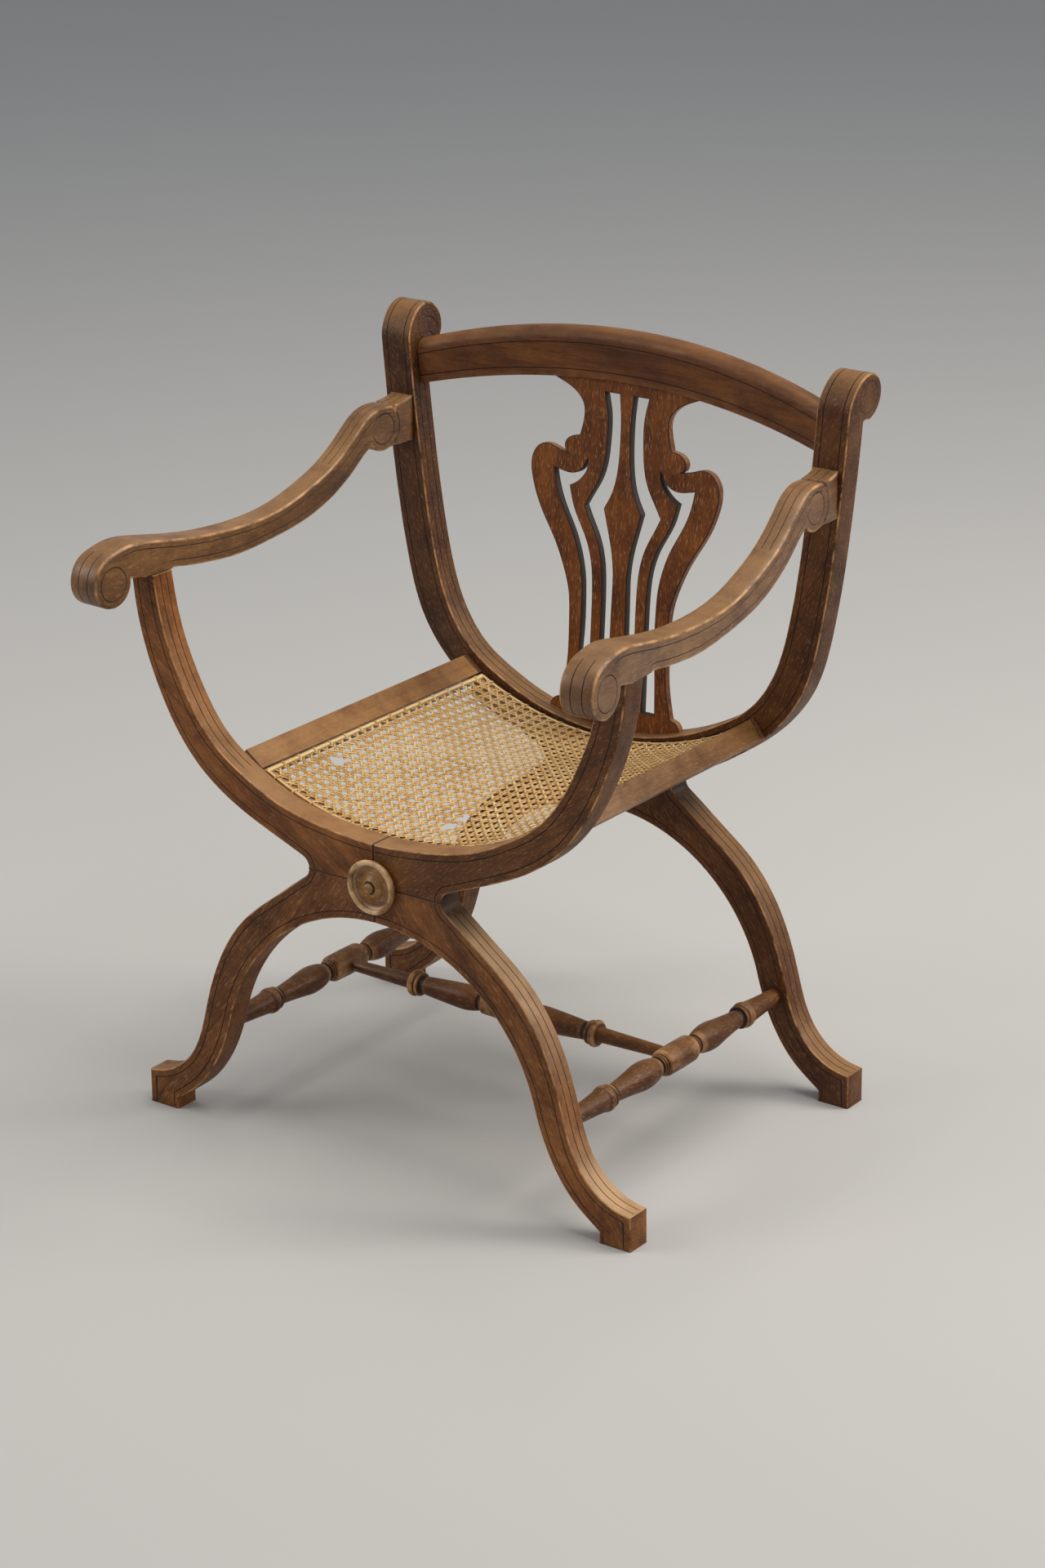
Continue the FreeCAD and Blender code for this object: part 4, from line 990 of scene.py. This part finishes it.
def arm_loop():
    """The side view of an arm and the V-cut lines of its two sides."""
    radius, soft = arm_scroll_radius, arm_arris
    scroll = np.array([0, front_post_top_z + arm_scroll_rise])
    end = arm_point((1, 1))
    crown_points = [scroll + [-radius, 0]] + [scroll + np.array(s) * radius for s in arm_crown_shares]
    over = heading(arm_crown_slope)
    crown = Curve(crown_points, (0, 1), over).run()
    top_points = [crown_points[-1]] + [arm_point(s) for s in arm_top_shares] + [end]
    top = Curve(top_points, over, heading(arm_end_slope)).run()
    seat_start = np.array([arm_overhang - arm_seat_margin, front_post_top_z])
    seat_end = np.array([arm_overhang + frame_thickness + arm_seat_margin, front_post_top_z])
    roll = np.array([end[0] - arm_roll_back, front_post_top_z + arm_roll_rise])
    on_roll = lambda angle: roll + heading(angle) * arm_roll_radius
    under = [seat_end] + [arm_point(s) for s in arm_low_shares] + [on_roll(-140)]
    low = Curve(under, (1, 0), under[-1] - under[-2]).run()
    crease = end[0] - arm_block_length
    block = np.array([crease, front_post_top_z + arm_end_low])
    block_end = np.array([end[0], block[1]])
    level = lambda x: np.interp(x, top[:, 0], top[:, 1])
    fold = [(crease + x, level(crease + x) - drop) for x, drop in arm_crease_shape]
    top = joined(top[top[:, 0] < crease - 6], fold, top[top[:, 0] > crease + 1])
    rear = int(np.argmax(top[:, 0] >= arm_run * arm_rear_share))
    loop = Loop(
        run_of(arc(scroll, radius, 180, 360, 2.5), soft, lined=True),
        run_of(straight_run(scroll + [radius, 0], seat_start), soft),
        run_of(straight_run(seat_start, seat_end), crisp_arris),
        run_of(low, soft),
        run_of(arc(roll, arm_roll_radius, -140, -70), soft),
        run_of(straight_run(on_roll(-70), block), soft),
        run_of(straight_run(block, block_end), 1.5),
        run_of(straight_run(block_end, end), joint_arris),
        run_of(top[rear:][::-1], soft, lined=True),
        run_of(top[:rear + 1][::-1], soft),
        run_of(crown[::-1], soft, lined=True),
    )
    eye = arc(scroll, radius - line_inset, 0, 360, 2.0)[:-1]
    rear_eye = arc(roll, arm_roll_radius - line_inset, -150, 150, 2.0)
    high_line = offset(joined(crown, top), -line_inset)
    high_line = high_line[(high_line[:, 0] > radius / 2) & (high_line[:, 0] < crease - 3)]
    low_line = offset(low, line_inset)
    low_line = low_line[(low_line[:, 0] > radius + 6) & (low_line[:, 0] < roll[0] - arm_roll_radius + 4)]
    block_line = arc(roll, arm_roll_radius, 36, -46, 2.0)
    return loop, [eye, rear_eye, high_line, low_line, block_line]


def arm_half_width(y):
    """Half the width of an arm: widest at the scroll, slim along its run, square at the block."""
    wide, slim, block = (w / 2 for w in arm_widths)
    start, waist = arm_scroll_radius / 2, arm_run * arm_waist_share
    if y > arm_run - arm_block_length:
        return block
    share = min(1, max(0, (y - start) / (waist - start)))
    return wide + (slim - wide) * share * share * (3 - 2 * share)


def arm_place(a, b, c):
    """Scales the width along the arm, then turns the arm about its front scroll."""
    x = c / (arm_widths[0] / 2) * arm_half_width(a)
    turned_x = arm_front_x + x * math.cos(arm_splay) - a * math.sin(arm_splay)
    y = -arm_overhang + x * math.sin(arm_splay) + a * math.cos(arm_splay)
    if a > arm_run - 1:
        y = frame_spacing - (arm_run - a)
    return turned_x, y, b


for side, mirror in mirrored.items():
    loop, lines = arm_loop()
    half = arm_widths[0] / 2
    mesh = sawn([loop], -half, half, lines, (-half / 3, half / 3), grid=True)
    finished(mesh, "arm_" + side, arm_place, mirror)


# Seat rails

rail_along, rail_down = heading(rail_slope), heading(rail_slope - 90)
for side, mirror in mirrored.items():
    corners = [np.array([rail_inner_x, rail_inner_z]) + rail_along * x + rail_down * z
               for x, z in ((0, 0), (0, rail_depth), (rail_width, rail_depth), (rail_width, 0))]
    loop = Loop(*[run_of(straight_run(corners[i - 4], corners[i - 3], 4), crisp_arris) for i in range(4)])
    mesh = sawn([loop], frame_thickness, frame_spacing - rail_packing)
    finished(mesh, "seat_rail_" + side, in_frame(0), mirror)


# Turned pieces

def turned_mesh(profile, centre, axis, facets=72, waxed=()):
    """Spins a profile of (distance along the axis, radius) points; waxed lists dark bands: wax hollows and
    painted shade.
    """
    mesh, dark, _, worn = blank_mesh()
    profile = np.array(profile)
    axis, across = Vector(axis), Vector((0, 0, 1))
    other = axis.cross(across)
    rings = []
    for reach, radius in profile:
        around = profile[np.abs(profile[:, 0] - reach) < bead_reach, 1]
        ring = []
        for turn in (2 * math.pi * i / facets for i in range(facets)):
            spot = Vector(centre) + axis * reach + (across * math.cos(turn) + other * math.sin(turn)) * radius
            ring.append(mesh.verts.new(spot))
            ring[-1][worn] = float(np.clip((radius - around.mean()) / bead_proud, 0, 1))
        rings.append(ring)

    def is_dark(k, i, j):
        reach, radius = (profile[k] + profile[k + 1]) / 2
        return any(low <= abs(reach) <= high and least <= radius <= most
                   for low, high, least, most in waxed)

    bridged(mesh, dark, rings, is_dark)
    for ring in (rings[0], rings[-1]):
        mesh.faces.new(ring)
    return mesh


def turning(shares, half_length, radius):
    """The profile of a piece turned alike on both halves."""
    half = []
    for a, b, near, middle, far in shares:
        start, through, end = (np.array([s * half_length, r * radius])
                               for s, r in ((a, near), ((a + b) / 2, middle or near), (b, far)))
        half += [start, end] if middle is straight else list(arc_through(start, through, end))
    return joined(reflected(half), half)


def eased(profile, radius=0.5):
    """Corners of a turned profile taken off by the scraper."""
    points = [profile[0]]
    for before, here, after in zip(profile[:-2], profile[1:-1], profile[2:]):
        a, b = before - here, after - here
        la, lb = np.linalg.norm(a), np.linalg.norm(b)
        if abs(a[0] * b[1] - a[1] * b[0]) < flat_corner * la * lb:
            points.append(here)
            continue
        a, b = a / la * min(radius, la * scrape_share), b / lb * min(radius, lb * scrape_share)
        points += [here + a, here + (a + b) / 4, here + b]
    return points + [profile[-1]]


middle_y = (frame_spacing + frame_thickness) / 2
for side, mirror in mirrored.items():
    profile = eased(turning(side_turning_shares, (frame_spacing - frame_thickness) / 2 + 1, barrel_radius))
    mesh = turned_mesh(profile, (stretcher_x, middle_y, stretcher_z), (0, 1, 0), waxed=side_wax)
    finished(mesh, "side_stretcher_" + side, mirror=mirror, finish=oaks["side_stretchers"])
profile = eased(turning(cross_turning_shares, stretcher_x - barrel_radius + 2, cross_barrel_radius))
finished(turned_mesh(profile, (0, middle_y, stretcher_z), (1, 0, 0), waxed=cross_wax), "cross_stretcher")

boss_scale = np.array([boss_height, boss_radius])
spot = np.array(boss_start_share) * boss_scale
profile = [(0.0, boss_radius - 1.0), (0.9, boss_radius - 1.0), (1.4, boss_radius), spot]
for middle, end in boss_arc_shares:
    profile += list(arc_through(spot, np.array(middle) * boss_scale, np.array(end) * boss_scale, 12)[1:])
    spot = profile[-1]
profile = eased(np.array(profile + [(boss_height, 0.3)]), 0.4)
# The boss's dark bands include painted shade at its foot.
finished(turned_mesh(profile, (0, 0, joint_height), (0, -1, 0), 96, boss_wax_and_shade), "boss")


# Woven cane seat

def cane_surface(x, y):
    """The height of the dished seat, fuller halfway back, as the part's source gives it."""
    start, end = frame_thickness + bearer_width, frame_spacing - bearer_width
    share = np.clip((y - start) / (end - start), 0, 1)
    middle = seat_dip_z - cane_edge_drop + cane_middle_rise * np.sin(np.pi * share) ** 2
    sag = rail_inner_z - 0.1 - middle
    radius = (rail_inner_x ** 2 + sag ** 2) / (2 * sag)
    return middle + radius - np.sqrt(radius ** 2 - np.minimum(np.abs(x), rail_inner_x) ** 2)


def strand_paths():
    """The strands over the rows of holes: woven pairs each way, then both diagonals through them."""
    across, back = cane_cells
    pair_u, pair_v = (cane_pair_gap / pitch for pitch in cane_pitch)
    paths = []
    both_ways = ((across, back, pair_u, pair_v, -1), (back, across, pair_v, pair_u, 1))
    for count, length, here, there, flip in both_ways:
        for i in range(count + 1):
            for side in (-1, 1):
                row = i + side * here
                path = [(row, -cane_under_end, 0)]
                for j in range(length + 1):
                    path += [(row, j + way * there, flip * side * way * cane_pair_lift) for way in (-1, 1)]
                    path.append((row, j + 0.5, 0))
                path[-1] = (row, length + cane_under_end, 0)
                paths.append(path if flip < 0 else [(v, u, z) for u, v, z in path])
    crossings = [n + half for n in range(-1, across + 1) for half in (0, 0.5)]
    turns = sorted(place + step for place in crossings for step in (-cane_turn, cane_turn))
    for k in range(-across, back):
        low, high = max(0, -k - 0.5), min(across, back - k - 0.5)
        if high - low < 1:
            continue
        path = []
        for u in [low] + [t for t in turns if low + 0.05 < t < high - 0.05] + [high]:
            over = abs(u - round(u)) < 0.25
            path.append((u, u + k + 0.5, cane_diagonal_lift * (1 if over else -1)))
        paths += [path, [(across - u, v, -z) for u, v, z in path]]
    return [np.array(path) * [*cane_pitch, 1] + [-cane_half_width, cane_front_y, 0] for path in paths]


def broken_out(path):
    """Splits a strand where the old cane has given way."""
    pieces = [[]]
    for point in path:
        if any(math.hypot(point[0] - x, (point[1] - y) / 1.3) < reach for x, y, reach in cane_breaks):
            pieces.append([])
        else:
            pieces[-1].append(point)
    return [piece for piece in pieces if len(piece) > 1]


def edge_paths():
    """The binder over the four rows of holes, and the ties that hold it at every second hole."""
    w, y0, y1 = cane_half_width, cane_front_y, cane_front_y + cane_cells[1] * cane_pitch[1]
    corners = np.array([(-w, y0), (w, y0), (w, y1), (-w, y1)])
    binders, ties = [], []
    for k, (a, b) in enumerate(zip(corners, np.roll(corners, -1, axis=0))):
        along = (b - a) / np.linalg.norm(b - a)
        inward = np.array([-along[1], along[0]])
        count = cane_cells[k % 2]
        binders.append([(*spot, binder_lift) for spot in np.linspace(a, b, count * 2 + 1)])
        for hole in np.linspace(a, b, count + 1)[1:-1:2]:
            ties.append([(*(hole + (inward + along * 0.3) * reach), height) for reach, height in tie_shape])
    return binders, ties


def strand_tree():
    """Sweeps split cane along paths: flat underneath, crowned on top, each strand with a tone of its own."""
    tree = bpy.data.node_groups.new("split_cane_strands", "GeometryNodeTree")
    for name, way, kind in (("Paths", "INPUT", "Geometry"), ("Strand Width", "INPUT", "Float"),
                            ("Crown Height", "INPUT", "Float"), ("Belly Depth", "INPUT", "Float"),
                            ("Tone Seed", "INPUT", "Int"), ("Finish", "INPUT", "Material"),
                            ("Strands", "OUTPUT", "Geometry")):
        tree.interface.new_socket(name, in_out=way, socket_type="NodeSocket" + kind)
    given = add(tree, "NodeGroupInput", out=None)
    curve = add(tree, "MeshToCurve", {"Mesh": given["Paths"]})
    tone = add(tree, "FunctionNodeRandomValue", {"Seed": given["Tone Seed"]}, 1, data_type="FLOAT")
    toned = add(tree, "StoreNamedAttribute", {"Geometry": curve, "Name": "strand_tone", "Value": tone},
                data_type="FLOAT", domain="CURVE")
    level = add(tree, "SetCurveNormal", {"Curve": toned}, mode="Z_UP")
    section = add(tree, "CurvePrimitiveQuadrilateral", {
        "Width": given["Strand Width"], "Bottom Height": given["Belly Depth"],
        "Top Height": given["Crown Height"]}, mode="KITE")
    swept = add(tree, "CurveToMesh", {"Curve": level, "Profile Curve": section, "Fill Caps": True})
    real = add(tree, "RealizeInstances", {"Geometry": add(tree, "SetShadeSmooth", {"Geometry": swept})})
    coat = add(tree, "SetMaterial", {"Geometry": real, "Material": given["Finish"]})
    add(tree, "NodeGroupOutput", {"Strands": coat}, None)
    return tree


def woven(name, paths, width, crown, belly, seed, node):
    """Bakes one set of strands and drapes it over the dish of the seat."""
    points, edges = [], []
    for path in paths:
        edges += [(len(points) + i, len(points) + i + 1) for i in range(len(path) - 1)]
        points += [tuple(np.array(point) * mm) for point in path]
    data = bpy.data.meshes.new(name + "_paths")
    data.from_pydata(points, edges, [])
    carrier = placed(name + "_paths", data)
    modifier = carrier.modifiers.new("split_cane", "NODES")
    modifier.node_group = cane_tree
    sizes = {"Strand Width": width * mm, "Crown Height": crown * mm, "Belly Depth": belly * mm,
             "Tone Seed": seed, "Finish": split_cane}
    for socket in cane_tree.interface.items_tree:
        if socket.name in sizes:
            modifier[socket.identifier] = sizes[socket.name]
    baked = bpy.data.meshes.new_from_object(carrier.evaluated_get(bpy.context.evaluated_depsgraph_get()))
    bpy.data.objects.remove(carrier)
    places = np.empty(len(baked.vertices) * 3)
    baked.vertices.foreach_get("co", places)
    places = places.reshape(-1, 3) / mm
    places[:, 2] += cane_surface(places[:, 0], places[:, 1]) - cane_sink
    places[:, 1] += front_y
    baked.vertices.foreach_set("co", (places * mm).ravel())
    handed_over(name, baked, node)


cane_tree = strand_tree()
binders, ties = edge_paths()
strands = [piece for path in strand_paths() for piece in broken_out(path)]
woven("cane_weave", strands + ties, cane_width, cane_crown, cane_belly, 7, "cane_seat")
woven("cane_binder", binders, binding_width, 0.7, 0.2, 11, "cane_binding")


# Carried-over pieces

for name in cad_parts:
    coat = beech if "dowel" in name or "bearer" in name else packing if "packing" in name else None
    if coat:
        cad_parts[name].data.materials.clear()
        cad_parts[name].data.materials.append(coat)


# Floor, light and camera

bpy.ops.mesh.primitive_plane_add(size=14, location=(0, 0, 0))
floor = bpy.context.object
floor.name = "floor"
floor.data.materials.append(plain_finish("pale_painted_floor", "#c0c1c1", 0.9, "#bfc0c0", 300, 0.00001))

world = bpy.data.worlds.new("soft_studio")
bpy.context.scene.world = world
world.use_nodes = True
sky = world.node_tree
fill(sky, sky.nodes["Background"], {"Color": colour("#e6ebf2"), "Strength": 0.34})
behind = add(sky, "Background", {"Color": colour("#c2c3c3"), "Strength": 1.0})
from_camera = add(sky, "LightPath", out="Is Camera Ray")
seen = add(sky, "MixShader", (from_camera, sky.nodes["Background"].outputs[0], behind))
fill(sky, sky.nodes["World Output"], {"Surface": seen})


def softbox(name, place, target, size, power):
    lamp = bpy.data.lights.new(name, "AREA")
    lamp.shape = "RECTANGLE"
    lamp.size, lamp.size_y = size
    lamp.energy = power
    lamp.color = colour("#fff6ea")[:3]
    made = placed(name, lamp)
    made.location = place
    made.rotation_euler = (Vector(target) - Vector(place)).to_track_quat("-Z", "Y").to_euler()


softbox("top_softbox", (1.0, 0.6, 4.6), (0, 0.6, 0.4), (3.4, 3.4), 150)
softbox("front_softbox", (-2.8, -2.6, 2.4), (0, 0, 0.4), (1.8, 1.8), 48)
softbox("back_softbox", (2.8, 2.0, 2.2), (0, 0, 0.4), (1.4, 1.8), 60)

camera_data = bpy.data.cameras.new("camera")
camera_data.lens = 90.0
camera_data.sensor_width = 36.0
camera = placed("camera", camera_data)
camera.location = (2.29986, -3.08226, 1.78810)
camera.rotation_euler = [math.radians(angle) for angle in (69.7797, 0.5164, 36.0161)]
bpy.context.scene.camera = camera

bpy.context.scene.view_settings.view_transform = "Standard"
